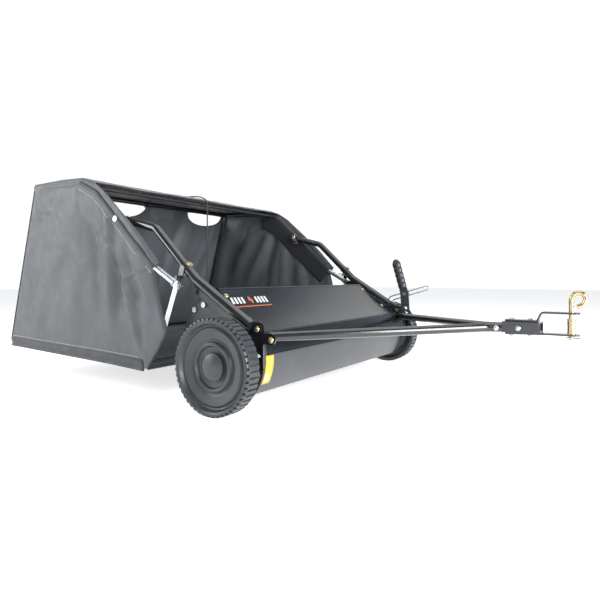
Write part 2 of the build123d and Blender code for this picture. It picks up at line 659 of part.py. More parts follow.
def tooth_half_angle(teeth, radius, extra):
    """Half the angle of an involute tooth, or of the space in a ring gear, at a radius."""
    pitch_r = GEAR_MODULE * teeth / 2
    base_r = pitch_r * math.cos(PRESSURE)

    def involute(at_r):
        turn = math.acos(min(1.0, base_r / at_r))
        return math.tan(turn) - turn

    half = (math.pi / 2 * GEAR_MODULE + extra / 2) / (2 * pitch_r)
    return half + involute(pitch_r) - involute(max(radius, base_r))


def gear_face(teeth, inner, outer, extra, first_turn):
    """A toothed disc's outline with involute flanks, one tooth centred on first_turn degrees."""
    levels = [inner + (outer - inner) * k / 4 for k in range(5)]
    points = []
    for tooth in range(teeth):
        middle = math.radians(first_turn) + 2 * math.pi * tooth / teeth
        for radius in levels:
            turn = middle - tooth_half_angle(teeth, radius, extra)
            points.append((radius * math.cos(turn), radius * math.sin(turn)))
        for radius in levels[::-1]:
            turn = middle + tooth_half_angle(teeth, radius, extra)
            points.append((radius * math.cos(turn), radius * math.sin(turn)))
    return make_face(Polyline(*points, close=True))


def ring_gear():
    """Left ring gear: internal teeth, pressed into the wheel's inner side."""
    space = gear_face(RING_TEETH, 73.6, 78.3, BACKLASH, MESH_ANGLE)
    ring = Pos(0, WHEEL_R) * (Circle(88) - space)
    return across(ring, WHEEL_IN_Y + 1, WHEEL_IN_Y + 15)


def brush_pinions():
    """Pinions keyed to the ends of the brush shaft, in mesh with the ring gears."""
    gear = gear_face(PINION_TEETH, 12.1, 17.3, -BACKLASH, MESH_ANGLE) - Circle(SHAFT_R)
    at = Pos(*BRUSH_AT) * gear
    return pair(across(at, WHEEL_IN_Y + 1.5, WHEEL_IN_Y + 14))


def brush_shaft():
    """Brush shaft, through both bearings and wheel arms to the pinions."""
    return disc_y(BRUSH_AT, -(WHEEL_IN_Y + 15), WHEEL_IN_Y + 15, SHAFT_R)


def brush_row_angles():
    """The directions of the bristle rows about the shaft."""
    return [360 / BRISTLE_ROWS * row + 10 for row in range(BRISTLE_ROWS)]


def brush_core():
    """Discs on the shaft and the channels that hold the bristle rows."""
    half = PLATE_IN - 14
    core = disc_y(BRUSH_AT, -half, half, 16.0, SHAFT_R)
    for y in (-half, -half / 3, half / 3, half):
        start = y - 2 if y > -half else y
        core = core + disc_y(BRUSH_AT, start, start + 2, 42.0, SHAFT_R)
    for turn in brush_row_angles():
        channel = Pos(*BRUSH_AT) * Rot(0, 0, turn) * Pos(46, 0) * (
            Rectangle(14, 13) - Pos(2, 0) * Rectangle(10.1, 8))
        core = core + across(channel, -half, half)
    return core


def brush_bristles():
    """Bristle rows: each a slab of its outer shape, held in its channel, ending short of the screws."""
    half = PANEL_HALF - 22
    rows = []
    for turn in brush_row_angles():
        flare = Polygon((43.2, -3.8), (53, -3.8), (BRUSH_R - 1, -8), (BRUSH_R - 1, 8), (53, 3.8),
                        (43.2, 3.8), align=None)
        rows.append(across(Pos(*BRUSH_AT) * Rot(0, 0, turn) * flare, -half, half))
    return group(*rows)


# ---- height lever ------------------------------------------------------------------------------
def lever_blank():
    """The lever's flat bar before it is drilled."""
    parts = [(LEVER_PIVOT, (100, 222), 16), ((100, 222), CLAMP_AT, 18),
             (CLAMP_AT, (91, 306), 17), (CLAMP_AT, LEVER_TOP, 12)]
    bars = [across(capsule(a, b, half), LEVER_IN, LEVER_IN + LEVER_T) for a, b, half in parts]
    return bars[0] + bars[1] + bars[2] + bars[3]


def lever_strap():
    """Height lever: a flat bar from its pivot, cranked rearward into the grip."""
    outer = LEVER_IN + LEVER_T
    lever = lever_blank()
    lever = lever - disc_y(LEVER_PIVOT, LEVER_IN - 1, outer + 1, 5.0 + RUNNING)
    for at in LEVER_BOLTS:
        lever = lever - disc_y(at, LEVER_IN - 1, outer + 1, 4.2)
    return lever - disc_y(CLAMP_AT, LEVER_IN - 1, outer + 1, 3.2)


def lever_grip():
    """Moulded grip with finger ridges over the lever's upper end."""
    start = along(CLAMP_AT, LEVER_TOP, 26)
    middle_y = LEVER_IN + LEVER_T / 2
    run = Vector(LEVER_TOP[0] - start[0], 0, LEVER_TOP[1] - start[1])
    length = run.length
    axis = run.normalized()
    plane = Plane(origin=(start[0], middle_y, start[1]), x_dir=(axis.Z, 0, -axis.X), z_dir=axis)
    half = 18.0
    ridges = 5
    grip = None
    for ridge in range(ridges):
        low = Plane(origin=plane.origin + axis * (length * ridge / ridges), x_dir=plane.x_dir,
                    z_dir=axis)
        high = Plane(origin=low.origin + axis * (length / ridges), x_dir=plane.x_dir, z_dir=axis)
        belly = Plane(origin=low.origin + axis * (length / ridges / 2), x_dir=plane.x_dir,
                      z_dir=axis)
        barrel = loft([low * Ellipse(half - 1.8, 13.5), belly * Ellipse(half, 15),
                       high * Ellipse(half - 1.8, 13.5)])
        grip = barrel if grip is None else grip + barrel
    top = plane.origin + axis * length
    cap = Pos(*top) * (Sphere(13.5) & Box(40, 40, 40))
    grip = grip + cap
    return grip - lever_blank()


def lever_bolts():
    """The two bolts low on the lever and the clamp bolt that reaches through the guide loop."""
    low = [bolt((x, LEVER_IN, z), (0, 1, 0), LEVER_T, 4.0, 8.5, 5.5) for x, z in LEVER_BOLTS]
    clamp_end = LOOP_Y + 17
    clamp = disc_y(CLAMP_AT, LEVER_IN - 1, clamp_end, 3.0)
    head = disc_y(CLAMP_AT, LEVER_IN - 4.5, LEVER_IN, 7.5)
    return group(*low, clamp + head)


def clamp_knob():
    """Fluted knob threaded on the clamp bolt, outside the guide loop."""
    low = LOOP_Y + LOOP_WIRE_R + 1.5
    body = across(Pos(*CLAMP_AT) * Circle(9.5), low + 3, low + 15)
    flutes = across(Pos(*CLAMP_AT) * ring_of(11, 6, Circle(2.6)), low + 3, low + 16)
    collar = disc_y(CLAMP_AT, low, low + 4, 7.0)
    knob = body - flutes + collar
    return knob - disc_y(CLAMP_AT, low - 1, low + 13.5, 3.0 + RUNNING)


# ---- hopper ------------------------------------------------------------------------------------
def hopper_side_tube():
    """Left top tube of the hopper frame, bent down to a flattened, drilled front end."""
    start = (REAR_TUBE[0] + HOPPER_TUBE_R + 0.2, HOPPER_TUBE_Y, REAR_TUBE[1])
    path = [start] + [(x, HOPPER_TUBE_Y, z) for x, z in SIDE_TUBE_BENDS]
    tube = bent(path, [70, 70, 40], HOPPER_TUBE_R, HOPPER_TUBE_R - 1.5)
    end, before = SIDE_TUBE_BENDS[-1], SIDE_TUBE_BENDS[-2]
    tongue = across(capsule(along(end, before, 6), STRAP_PIN, 11), HOPPER_TUBE_Y - 2.5,
                    HOPPER_TUBE_Y + 2.5)
    back = along(end, before, 10)
    plug = rod((end[0], HOPPER_TUBE_Y, end[1]), (back[0], HOPPER_TUBE_Y, back[1]),
               HOPPER_TUBE_R - 0.6)
    tube = tube + plug + tongue
    tube = tube - disc_y((PIVOT_X, PIVOT_Z), HOPPER_TUBE_Y - 12, HOPPER_TUBE_Y + 12, PIVOT_PIN_R)
    return tube - disc_y(STRAP_PIN, HOPPER_TUBE_Y - 4, HOPPER_TUBE_Y + 4, ARM_PIN_R)


def rear_top_tube():
    """Tube across the top rear of the hopper frame."""
    return disc_y(REAR_TUBE, -BAG_Y, BAG_Y, HOPPER_TUBE_R, HOPPER_TUBE_R - 1.5)


def front_top_rod():
    """Rod that holds the front edge of the bag's top between the side tubes."""
    half = HOPPER_TUBE_Y - HOPPER_TUBE_R + 0.5
    return disc_y(FRONT_ROD, -half, half, 8.0, 6.5)


def side_straps():
    """Flat straps from the side tubes' front ends down to the bottom rails."""
    line = Polyline(STRAP_PIN, (-239, 196), (-262, 165), (-318, 112))
    flat = across(trace(line, 18), STRAP_IN, STRAP_IN + 2.6)
    eye = disc_y(STRAP_PIN, STRAP_IN, STRAP_IN + 2.6, 11.0)
    return pair(flat + eye - disc_y(STRAP_PIN, STRAP_IN - 1, STRAP_IN + 4, ARM_PIN_R))


def floor_z(x):
    """Height of the bag floor's underside at a distance along the machine."""
    share = (x - FLOOR_REAR[0]) / (FLOOR_FRONT[0] - FLOOR_REAR[0])
    return FLOOR_REAR[1] + share * (FLOOR_FRONT[1] - FLOOR_REAR[1])


def rail_point(x):
    """A point on the left bottom rail's middle line, resting on the floor panel."""
    return (x, RAIL_Y, floor_z(x) + FLOOR_T + ROD_R + 0.3)


def bottom_rails():
    """Rods along the two lower edges of the bag."""
    return pair(rod(rail_point(-1062), rail_point(-318), ROD_R))


def bottom_rods():
    """Rods across the floor's rear and front edges, between the rails."""
    half = RAIL_Y - ROD_R + 0.2
    rods = []
    for x in (-1057, -324):
        _, _, z = rail_point(x)
        rods.append(disc_y((x, z), -half, half, ROD_R))
    return group(*rods)


def corner_posts():
    """Rods up the two rear corners from the bottom rails to the rear top tube."""
    low_x, _, low_z = rail_point(-1062)
    top = (REAR_TUBE[0] - 3, RAIL_Y, REAR_TUBE[1] - HOPPER_TUBE_R - 1)
    return pair(rod((low_x + 2, RAIL_Y, low_z + ROD_R), top, 4.5))


def bag_side():
    """Left side wall of the bag."""
    outline = [REAR_TOP, (-753, 691), (-637, 686), (-566, 664), (-514, 633), (-420, 556),
               (-331, 478), (-256, 401), (-275, 375), (-253, 288), (-222, 203), (-253, 156),
               FLOOR_FRONT, (-391, floor_z(-391) + 3), FLOOR_REAR, REAR_LOW]
    wall = plate_y(outline, BAG_Y - BAG_T + 0.6, BAG_Y)
    wall = wall - disc_y((PIVOT_X, PIVOT_Z), BAG_Y - 6, BAG_Y + 2, PIVOT_PIN_R + 1)
    return wall - disc_y(REAR_TUBE, BAG_Y - 6, BAG_Y + 2, HOPPER_TUBE_R + 0.3)


def bag_inner_half():
    """Half the distance between the inner faces of the side walls."""
    return BAG_Y - BAG_T + 0.4


def bag_top():
    """Top panel of the bag, from the rear tube to the front rod."""
    half = bag_inner_half()
    line = [REAR_TOP, (-753, 691), (-637, 686), (-566, 664)]
    under = [(-568, 660.5), (-637, 682.8), (-753, 688), (REAR_TOP[0], 687)]
    panel = plate_y(line + under, -half, half)
    hole_x = REAR_TUBE[0] + math.sqrt(ROPE_LOOP_R ** 2 - (REAR_TOP[1] - 1 - REAR_TUBE[1]) ** 2)
    y = ROPE_ROUTE[0][1]
    return panel - rod((hole_x, y, 670), (hole_x, y, 700), 2 * ROPE_R)


def hand_hole(y_low, y_high):
    """A half-moon hole through the bag's back, flat side up."""
    half = (y_high - y_low) / 2
    cut = Ellipse(half, 62) & (Pos(0, -40) * Rectangle(2 * half + 2, 80))
    up = Vector(REAR_TOP[0] - REAR_LOW[0], 0, REAR_TOP[1] - REAR_LOW[1]).normalized()
    top = Vector(REAR_TOP[0], (y_low + y_high) / 2, REAR_TOP[1]) - up * 19
    plane = Plane(origin=top, x_dir=(0, 1, 0), z_dir=Vector(0, 1, 0).cross(up))
    return extrude(plane * cut, amount=12, both=True)


def bag_back():
    """Sloping back wall of the bag with two hand holes under the rear tube."""
    half = bag_inner_half()
    up = Vector(REAR_TOP[0] - REAR_LOW[0], REAR_TOP[1] - REAR_LOW[1]).normalized()
    inward = Vector(up.Y, -up.X)
    top_inner = (REAR_TOP[0] + inward.X * BAG_T, 686.6)
    low_inner = (REAR_LOW[0] + inward.X * BAG_T, REAR_LOW[1] + inward.Y * BAG_T)
    wall = plate_y([(REAR_TOP[0] - 1.1, 686.6), top_inner, low_inner, REAR_LOW], -half, half)
    for y_low, y_high in HAND_HOLES:
        wall = wall - hand_hole(y_low, y_high)
    return wall


def bag_floor():
    """Stiffened floor panel of the bag."""
    half = bag_inner_half()
    rear = (REAR_LOW[0] + 5, floor_z(REAR_LOW[0] + 5))
    outline = [rear, FLOOR_FRONT, (FLOOR_FRONT[0], FLOOR_FRONT[1] + FLOOR_T), (rear[0], rear[1] + FLOOR_T)]
    return plate_y(outline, -half, half)


def hopper_pins():
    """Pivot pins and strap pins, drilled for their clips, with their heads outside the bag."""
    pivot = disc_y((PIVOT_X, PIVOT_Z), ARM_Y - 12, BAG_Y + 1, PIVOT_PIN_R)
    pivot = pivot + disc_y((PIVOT_X, PIVOT_Z), BAG_Y + 0.3, BAG_Y + 4.3, 9.0)
    strap = disc_y(STRAP_PIN, HOPPER_TUBE_Y - 9, STRAP_IN + 3, ARM_PIN_R)
    strap = strap + disc_y(STRAP_PIN, STRAP_IN + 2.6, STRAP_IN + 6, 8.0)
    return pair(group(pivot - clip_hole(PIVOT_CLIP, PIVOT_CLIP_RUN),
                      strap - clip_hole(STRAP_CLIP, STRAP_CLIP_RUN)))


def hopper_hairpins():
    """Bow-tie clips through the inner ends of the pivot and strap pins."""
    pivot = hairpin(PIVOT_CLIP, PIVOT_CLIP_RUN, (0.954, 0, 0.3), PIVOT_PIN_R)
    strap = hairpin(STRAP_CLIP, STRAP_CLIP_RUN, (0.6, 0, -0.8), ARM_PIN_R, 0.8)
    return pair(group(pivot, strap))


# ---- dump rope ---------------------------------------------------------------------------------
def rope_radii():
    """Arc radii at the route's corners, each as large as its two runs allow."""
    points = [Vector(*p) for p in ROPE_ROUTE]
    radii = []
    for before, corner, after in zip(points, points[1:], points[2:]):
        turn = (corner - before).get_angle(after - corner)
        run = min((corner - before).length, (after - corner).length)
        radii.append(0.45 * run / math.tan(math.radians(turn / 2)))
    return radii


def dump_rope():
    """The rope's free stretch, from the rear tube over the top and down to the coil."""
    return bent(ROPE_ROUTE, rope_radii(), ROPE_R)


def coil_low():
    """Underside of the coil, which lies on the sloping floor."""
    return floor_z(ROPE_ROUTE[-1][0] - COIL_R) + FLOOR_T + 1.2


def rope_coil():
    """The rope's put-away length as the solid ring of its turns, lying on the hopper floor."""
    x, y = ROPE_ROUTE[-1][0] - COIL_R, ROPE_ROUTE[-1][1]
    low = coil_low()
    return rod((x, y, low), (x, y, low + 2 * COIL_HALF), COIL_R + COIL_HALF, COIL_R - COIL_HALF)


def rope_tie():
    """The loop and knot that hold the rope to the rear top tube."""
    x, z = REAR_TUBE
    y = ROPE_ROUTE[0][1]
    circle = (Plane(origin=(x, y, z), z_dir=(0, 1, 0)) * Circle(ROPE_LOOP_R)).edge()
    ring = sweep(Plane(origin=circle @ 0, z_dir=circle % 0) * Circle(ROPE_R), path=circle)
    return ring + Pos(x + 14, y, z + 20.6) * Rot(0, 78, 0) * Cylinder(4.5, 13)


def rope_knot():
    """The stop knot at the rope's free end, lying on the coil."""
    x, y = ROPE_ROUTE[-1][0] - 2 * COIL_R, ROPE_ROUTE[-1][1] - 4
    return Pos(x, y, coil_low() + 2 * COIL_HALF + 4.7) * Rot(90, 0, 0) * Cylinder(4.6, 12)


# ---- write every node ----------------------------------------------------------------------------
save("upper_panel", upper_panel())
save("brush_cover", brush_cover())
save("front_brackets", pair(front_bracket()))
save("arm_brackets", pair(arm_bracket()))
save("arm_pins", arm_pins())
save("hopper_stops", hopper_stops())
save("tie_rods", tie_rods())
save("brush_bearings", brush_bearings())
save("housing_bolts", housing_bolts())
save("guide_loop", guide_loop())
save("hitch_channel", hitch_channel())
save("hitch_strap_upper", hitch_strap(True))
save("hitch_strap_lower", hitch_strap(False))
save("hitch_bolts", hitch_bolts())
save("hitch_spacer", hitch_spacer())
save("hitch_pin", hitch_pin())
save("hitch_hairpin", hitch_hairpin())
save("torque_tube", torque_tube())
save("stub_axles", stub_axles())
save("brush_pinions", brush_pinions())
save("brush_shaft", brush_shaft())
save("brush_core", brush_core())
save("brush_bristles", brush_bristles())
save("lever_strap", lever_strap())
save("lever_grip", lever_grip())
save("lever_bolts", lever_bolts())
save("clamp_knob", clamp_knob())
save("rear_top_tube", rear_top_tube())
save("front_top_rod", front_top_rod())
save("side_straps", side_straps())
save("bottom_frame", group(bottom_rails(), bottom_rods(), corner_posts()))
save("bag_top", bag_top())
save("bag_back", bag_back())
save("bag_floor", bag_floor())
save("hopper_pins", hopper_pins())
save("hopper_hairpins", hopper_hairpins())
save("dump_rope", dump_rope())
save("rope_coil", rope_coil())
save("rope_tie", rope_tie())
save("rope_knot", rope_knot())

HANDED = {
    "side_plate": side_plate,
    "arm_tube": arm_tube,
    "lower_arm": lower_arm,
    "hitch_tube": hitch_tube,
    "wheel_arm": wheel_arm,
    "wheel": wheel,
    "ring_gear": ring_gear,
    "hub_cap": hub_cap,
    "hopper_side_tube": hopper_side_tube,
    "bag_side": bag_side,
}
for piece, build in HANDED.items():
    shape = build()
    for side, sign in SIDES.items():
        save(f"{piece}_{side}", sided(shape, sign))
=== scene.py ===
import json
import math

import bmesh
import bpy
import numpy as np
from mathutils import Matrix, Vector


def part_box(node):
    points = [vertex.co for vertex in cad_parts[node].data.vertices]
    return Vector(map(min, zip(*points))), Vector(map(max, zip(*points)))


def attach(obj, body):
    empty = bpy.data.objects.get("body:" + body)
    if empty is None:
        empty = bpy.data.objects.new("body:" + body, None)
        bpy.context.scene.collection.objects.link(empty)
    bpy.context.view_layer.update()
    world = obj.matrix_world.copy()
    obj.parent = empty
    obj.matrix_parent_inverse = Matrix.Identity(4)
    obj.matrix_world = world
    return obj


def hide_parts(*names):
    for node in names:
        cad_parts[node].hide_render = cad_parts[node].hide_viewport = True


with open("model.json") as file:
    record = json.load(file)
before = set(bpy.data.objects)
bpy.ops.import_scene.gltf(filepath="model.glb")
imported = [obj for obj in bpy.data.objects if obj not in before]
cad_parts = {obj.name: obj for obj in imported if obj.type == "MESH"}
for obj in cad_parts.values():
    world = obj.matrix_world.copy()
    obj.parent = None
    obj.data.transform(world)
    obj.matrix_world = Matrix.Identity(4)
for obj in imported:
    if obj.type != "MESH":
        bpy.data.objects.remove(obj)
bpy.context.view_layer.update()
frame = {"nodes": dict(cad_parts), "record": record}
NODES = frame["nodes"]
RECORD = frame["record"]
JOINTS = {joint["name"]: joint for joint in RECORD["behaviour"]["joints"]}

# ---- places in the shared frame, metres: x forward, y left, z up ------------------------------
BRUSH_X, _, BRUSH_Z = JOINTS["brush_spin"]["pos_m"]
WALL_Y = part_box("bag_side_left")[1][1]
TUBE_Y = sum(corner[1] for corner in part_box("hopper_side_tube_left")) / 2
TUBE_R = (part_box("hopper_side_tube_left")[1][1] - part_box("hopper_side_tube_left")[0][1]) / 2
WALL_INSET = 0.0012         # a side wall's cloth lies this far inside its outer face
FABRIC_T = 0.0014
HOLE_TOP = 0.019            # a hand hole's flat edge below the back's top edge
HOLE_DEPTH = 0.062
ROPE_R = 0.0025
ROPE_LOOP_R = 0.0205        # the rope's loop round the rear tube
TURN_STEP = 0.42            # radians between the coil's points
SHIFT_TIME = 0.6            # radians in which a turn moves on to its next place

# The bag's outline in (x, z): round the outside from the top front corner, and down the mouth.
OUTSIDE = [
    (-0.4295, 0.664), (-0.4700, 0.6790), (-0.5005, 0.686), (-0.6165, 0.691), (-0.7805, 0.690),
    (-0.9465, 0.125), (-0.9440, 0.1125), (-0.9350, 0.1085), (-0.2545, 0.0900), (-0.1735, 0.0850),
]
MOUTH = [
    (-0.4295, 0.664), (-0.3775, 0.633), (-0.2835, 0.556), (-0.1945, 0.478), (-0.1195, 0.401),
    (-0.1385, 0.375), (-0.1165, 0.288), (-0.0855, 0.203), (-0.1165, 0.156), (-0.1735, 0.0850),
]
SIDE_TUBE = [(-0.7801, 0.676), (-0.5035, 0.667), (-0.4155, 0.6284), (-0.1395, 0.3855)]

ROPE_ROUTE = [
    (-0.7495, -0.008, 0.6955), (-0.6895, -0.002, 0.695), (-0.6255, 0.010, 0.6946),
    (-0.5635, 0.017, 0.694), (-0.5055, 0.012, 0.692), (-0.4515, 0.005, 0.684),
    (-0.4165, 0.001, 0.664), (-0.4165, 0.000, 0.618), (-0.4175, 0.000, 0.124),
    (-0.4175, -0.037, 0.120),
]
COIL_R = 0.0275
COIL_TURNS = 7.5
COIL_GAP = 0.37             # radians by which the last turn stops short
COIL_PLACES = [(0, 2), (1, 2), (1, 1), (1, 0), (0, 0), (-1, 0), (-1, 1), (-1, 2)]

VIEW_TURN = math.radians(32.489)    # the camera looks this far round from +Y towards -X


# ---- camera -----------------------------------------------------------------------------------
def make_camera():
    """The camera: level, seen from ahead of the right wheel."""
    data = bpy.data.cameras.new("camera")
    data.sensor_width = 36
    data.lens = 30.57
    data.shift_x = -0.0313
    data.shift_y = -0.0390
    camera = bpy.data.objects.new("camera", data)
    camera.location = (1.06628, -1.49171, 0.35933)
    camera.rotation_euler = (math.radians(90), 0, VIEW_TURN)
    bpy.context.collection.objects.link(camera)
    bpy.context.scene.camera = camera


make_camera()


# ---- helpers ------------------------------------------------------------------------------------
def mesh_object(name, points, faces, paint, smooth=True):
    """A new mesh object from points and faces."""
    mesh = bpy.data.meshes.new(name)
    mesh.from_pydata([tuple(map(float, p)) for p in points], [], faces)
    mesh.update()
    mesh.polygons.foreach_set("use_smooth", [smooth] * len(mesh.polygons))
    piece = bpy.data.objects.new(name, mesh)
    mesh.materials.append(paint)
    bpy.context.collection.objects.link(piece)
    return piece


def grid_faces(rows, columns):
    """Quads between the rows of a grid of points."""
    return [(r * columns + c, r * columns + c + 1, (r + 1) * columns + c + 1, (r + 1) * columns + c)
            for r in range(rows - 1) for c in range(columns - 1)]


def bake_modifiers(piece):
    """Apply every modifier of a piece to its mesh."""
    graph = bpy.context.evaluated_depsgraph_get()
    mesh = bpy.data.meshes.new_from_object(piece.evaluated_get(graph))
    piece.modifiers.clear()
    piece.data = mesh


def thicken(piece, thickness):
    """Give a surface a thickness, half to each side."""
    thick = piece.modifiers.new("thick", "SOLIDIFY")
    thick.thickness = thickness
    thick.offset = 0
    bake_modifiers(piece)


def sew(piece):
    """Carry a piece of bag cloth with the hopper."""
    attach(piece, "hopper")
    return piece


def walk(points, count):
    """Evenly spaced points along a line of points."""
    points = np.array(points, float)
    steps = np.linalg.norm(np.diff(points, axis=0), axis=1)
    marks = np.concatenate([[0], np.cumsum(steps)])
    at = np.linspace(0, marks[-1], count)
    return np.stack([np.interp(at, marks, points[:, k]) for k in range(points.shape[1])], axis=1)


def line_distance(points, line):
    """Signed distance of 2-D points from a line of points, and how far along the nearest is."""
    line = np.array(line, float)
    best = np.full(len(points), 1e9)
    signed = np.zeros(len(points))
    share = np.zeros(len(points))
    for k, (a, b) in enumerate(zip(line, line[1:])):
        run = b - a
        t = np.clip(((points - a) @ run) / (run @ run), 0, 1)
        off = points - a - t[:, None] * run
        gap = np.hypot(off[:, 0], off[:, 1])
        side = np.sign(run[0] * off[:, 1] - run[1] * off[:, 0])
        closer = gap < best
        best[closer] = gap[closer]
        signed[closer] = (gap * side)[closer]
        share[closer] = ((k + t) / (len(line) - 1))[closer]
    return signed, share


def tube_curve(name, points, radius, paint, order=3, cyclic=False):
    """A round cord or wire as a NURBS curve through control points."""
    data = bpy.data.curves.new(name, "CURVE")
    data.dimensions = "3D"
    data.bevel_depth = radius
    data.bevel_resolution = 3
    data.resolution_u = 8
    data.use_fill_caps = True
    spline = data.splines.new("NURBS")
    spline.points.add(len(points) - 1)
    for target, point in zip(spline.points, points):
        target.co = (*point, 1)
    spline.use_cyclic_u = cyclic
    spline.use_endpoint_u = not cyclic
    spline.order_u = order
    data.materials.append(paint)
    piece = bpy.data.objects.new(name, data)
    bpy.context.collection.objects.link(piece)
    return piece


# ---- materials ----------------------------------------------------------------------------------
class Paint:
    """A material under construction: one principled shader and the nodes that feed it."""

    def __init__(self, name, roughness, metallic=0.0, coat=0.0, sheen=0.0, specular=0.5):
        self.material = bpy.data.materials.new(name)
        self.material.use_nodes = True
        tree = self.material.node_tree
        self.nodes, self.links = tree.nodes, tree.links
        self.shader = self.nodes["Principled BSDF"]
        self.shader.inputs["Roughness"].default_value = roughness
        self.shader.inputs["Metallic"].default_value = metallic
        self.shader.inputs["Coat Weight"].default_value = coat
        self.shader.inputs["Coat Roughness"].default_value = 0.12
        self.shader.inputs["Sheen Weight"].default_value = sheen
        self.shader.inputs["Sheen Roughness"].default_value = 0.5
        self.shader.inputs["Specular IOR Level"].default_value = specular
        self.place = self.nodes.new("ShaderNodeTexCoord").outputs["Object"]
        self.normal = None

    def noise(self, scale, detail=4.0, stretch=(1, 1, 1)):
        """A noise over the surface, scale in features per metre."""
        mapping = self.nodes.new("ShaderNodeMapping")
        mapping.inputs["Scale"].default_value = stretch
        self.links.new(self.place, mapping.inputs["Vector"])
        node = self.nodes.new("ShaderNodeTexNoise")
        node.inputs["Scale"].default_value = scale
        node.inputs["Detail"].default_value = detail
        self.links.new(mapping.outputs["Vector"], node.inputs["Vector"])
        return node.outputs["Fac"]

    def cells(self, scale):
        """A random value for each small cell of the surface."""
        node = self.nodes.new("ShaderNodeTexVoronoi")
        node.inputs["Scale"].default_value = scale
        self.links.new(self.place, node.inputs["Vector"])
        return node.outputs["Color"]

    def bands(self, axis, scale, distortion=0.0):
        """Fine waves across one axis."""
        node = self.nodes.new("ShaderNodeTexWave")
        node.bands_direction = axis
        node.inputs["Scale"].default_value = scale
        node.inputs["Distortion"].default_value = distortion
        self.links.new(self.place, node.inputs["Vector"])
        return node.outputs["Fac"]

    def mix(self, factor, a, b, blend="MIX"):
        """Mix two colours, each a socket or a colour."""
        node = self.nodes.new("ShaderNodeMix")
        node.data_type = "RGBA"
        node.blend_type = blend
        self.feed(factor, node.inputs["Factor"])
        for value, name in ((a, "A"), (b, "B")):
            target = [s for s in node.inputs if s.name == name and s.type == "RGBA"][0]
            if isinstance(value, tuple):
                target.default_value = (*value, 1)
            else:
                self.links.new(value, target)
        return [s for s in node.outputs if s.type == "RGBA"][0]

    def feed(self, value, target):
        """Set a socket from a number or from another socket."""
        if isinstance(value, (int, float)):
            target.default_value = value
        else:
            self.links.new(value, target)

    def ramp(self, value, low, high, start=0.35, end=0.65):
        """Colours from low to high as a value goes from start to end."""
        node = self.nodes.new("ShaderNodeValToRGB")
        node.color_ramp.elements[0].position = start
        node.color_ramp.elements[0].color = (*low, 1)
        node.color_ramp.elements[1].position = end
        node.color_ramp.elements[1].color = (*high, 1)
        self.links.new(value, node.inputs["Fac"])
        return node.outputs["Color"]

    def spread(self, value, low, high):
        """A value between low and high, driven by a 0 to 1 pattern."""
        node = self.nodes.new("ShaderNodeMapRange")
        node.inputs["From Min"].default_value = 0.3
        node.inputs["From Max"].default_value = 0.7
        node.inputs["To Min"].default_value = low
        node.inputs["To Max"].default_value = high
        self.links.new(value, node.inputs["Value"])
        return node.outputs["Result"]

    def between(self, axis, low, high, edge=0.001):
        """1 where a coordinate lies between two values, else 0."""
        split = self.nodes.new("ShaderNodeSeparateXYZ")
        self.links.new(self.place, split.inputs["Vector"])
        rise = self.step(split.outputs[axis], low, edge)
        fall = self.step(split.outputs[axis], high, edge)
        node = self.nodes.new("ShaderNodeMath")
        node.operation = "SUBTRACT"
        self.links.new(rise, node.inputs[0])
        self.links.new(fall, node.inputs[1])
        return node.outputs["Value"]

    def step(self, value, at, edge):
        """0 below a value and 1 above it, over a soft edge."""
        node = self.nodes.new("ShaderNodeMapRange")
        node.inputs["From Min"].default_value = at - edge
        node.inputs["From Max"].default_value = at + edge
        self.links.new(value, node.inputs["Value"])
        return node.outputs["Result"]

    def times(self, a, b):
        """The product of two values."""
        node = self.nodes.new("ShaderNodeMath")
        node.operation = "MULTIPLY"
        self.feed(a, node.inputs[0])
        self.feed(b, node.inputs[1])
        return node.outputs["Value"]

    def bump(self, height, distance, strength=1.0):
        """Add relief from a pattern, distance in metres."""
        node = self.nodes.new("ShaderNodeBump")
        node.inputs["Distance"].default_value = distance
        node.inputs["Strength"].default_value = strength
        self.links.new(height, node.inputs["Height"])
        if self.normal is not None:
            self.links.new(self.normal, node.inputs["Normal"])
        self.normal = node.outputs["Normal"]
        self.links.new(self.normal, self.shader.inputs["Normal"])

    def colour(self, value):
        """Set the base colour from a socket."""
        self.links.new(value, self.shader.inputs["Base Color"])

    def rough(self, value):
        """Set the roughness from a socket."""
        self.links.new(value, self.shader.inputs["Roughness"])


def shades(colour, spread):
    """A darker and a lighter version of a colour."""
    low = tuple(c * (1 - spread) for c in colour)
    high = tuple(min(1.0, c * (1 + spread)) for c in colour)
    return low, high


def gloss_paint(name, colour, roughness=0.22, coat=0.6, specular=0.5):
    """Powder coat with a faint orange peel and uneven dust."""
    paint = Paint(name, roughness, coat=coat, specular=specular)
    dust = paint.noise(9.0, 6.0)
    low, high = shades(colour, 0.25)
    paint.colour(paint.ramp(dust, low, high))
    paint.rough(paint.spread(paint.noise(30.0, 2.0), roughness * 0.94, roughness * 1.08))
    paint.bump(paint.noise(420.0, 2.0), 0.00001)
    return paint.material


def satin_paint(name, colour, roughness=0.42, grain=1400.0, relief=0.00003, coat=0.1):
    """Satin or wrinkle powder coat."""
    paint = Paint(name, roughness, coat=coat)
    low, high = shades(colour, 0.18)
    paint.colour(paint.ramp(paint.noise(14.0, 6.0), low, high))
    paint.rough(paint.spread(paint.noise(40.0, 3.0), roughness * 0.92, roughness * 1.1))
    paint.bump(paint.noise(grain, 3.0), relief)
    return paint.material


def plated_steel(name, colour, roughness=0.28):
    """Zinc plate with a soft spangle, stains and brushing."""
    paint = Paint(name, roughness, metallic=1.0)
    low, high = shades(colour, 0.14)
    stain = paint.ramp(paint.noise(70.0, 5.0), low, high)
    paint.colour(paint.mix(0.25, stain, paint.cells(260.0), "SOFT_LIGHT"))
    paint.rough(paint.spread(paint.noise(240.0, 4.0), roughness * 0.7, roughness * 1.5))
    paint.bump(paint.noise(900.0, 3.0, (1, 6, 1)), 0.00002)
    return paint.material


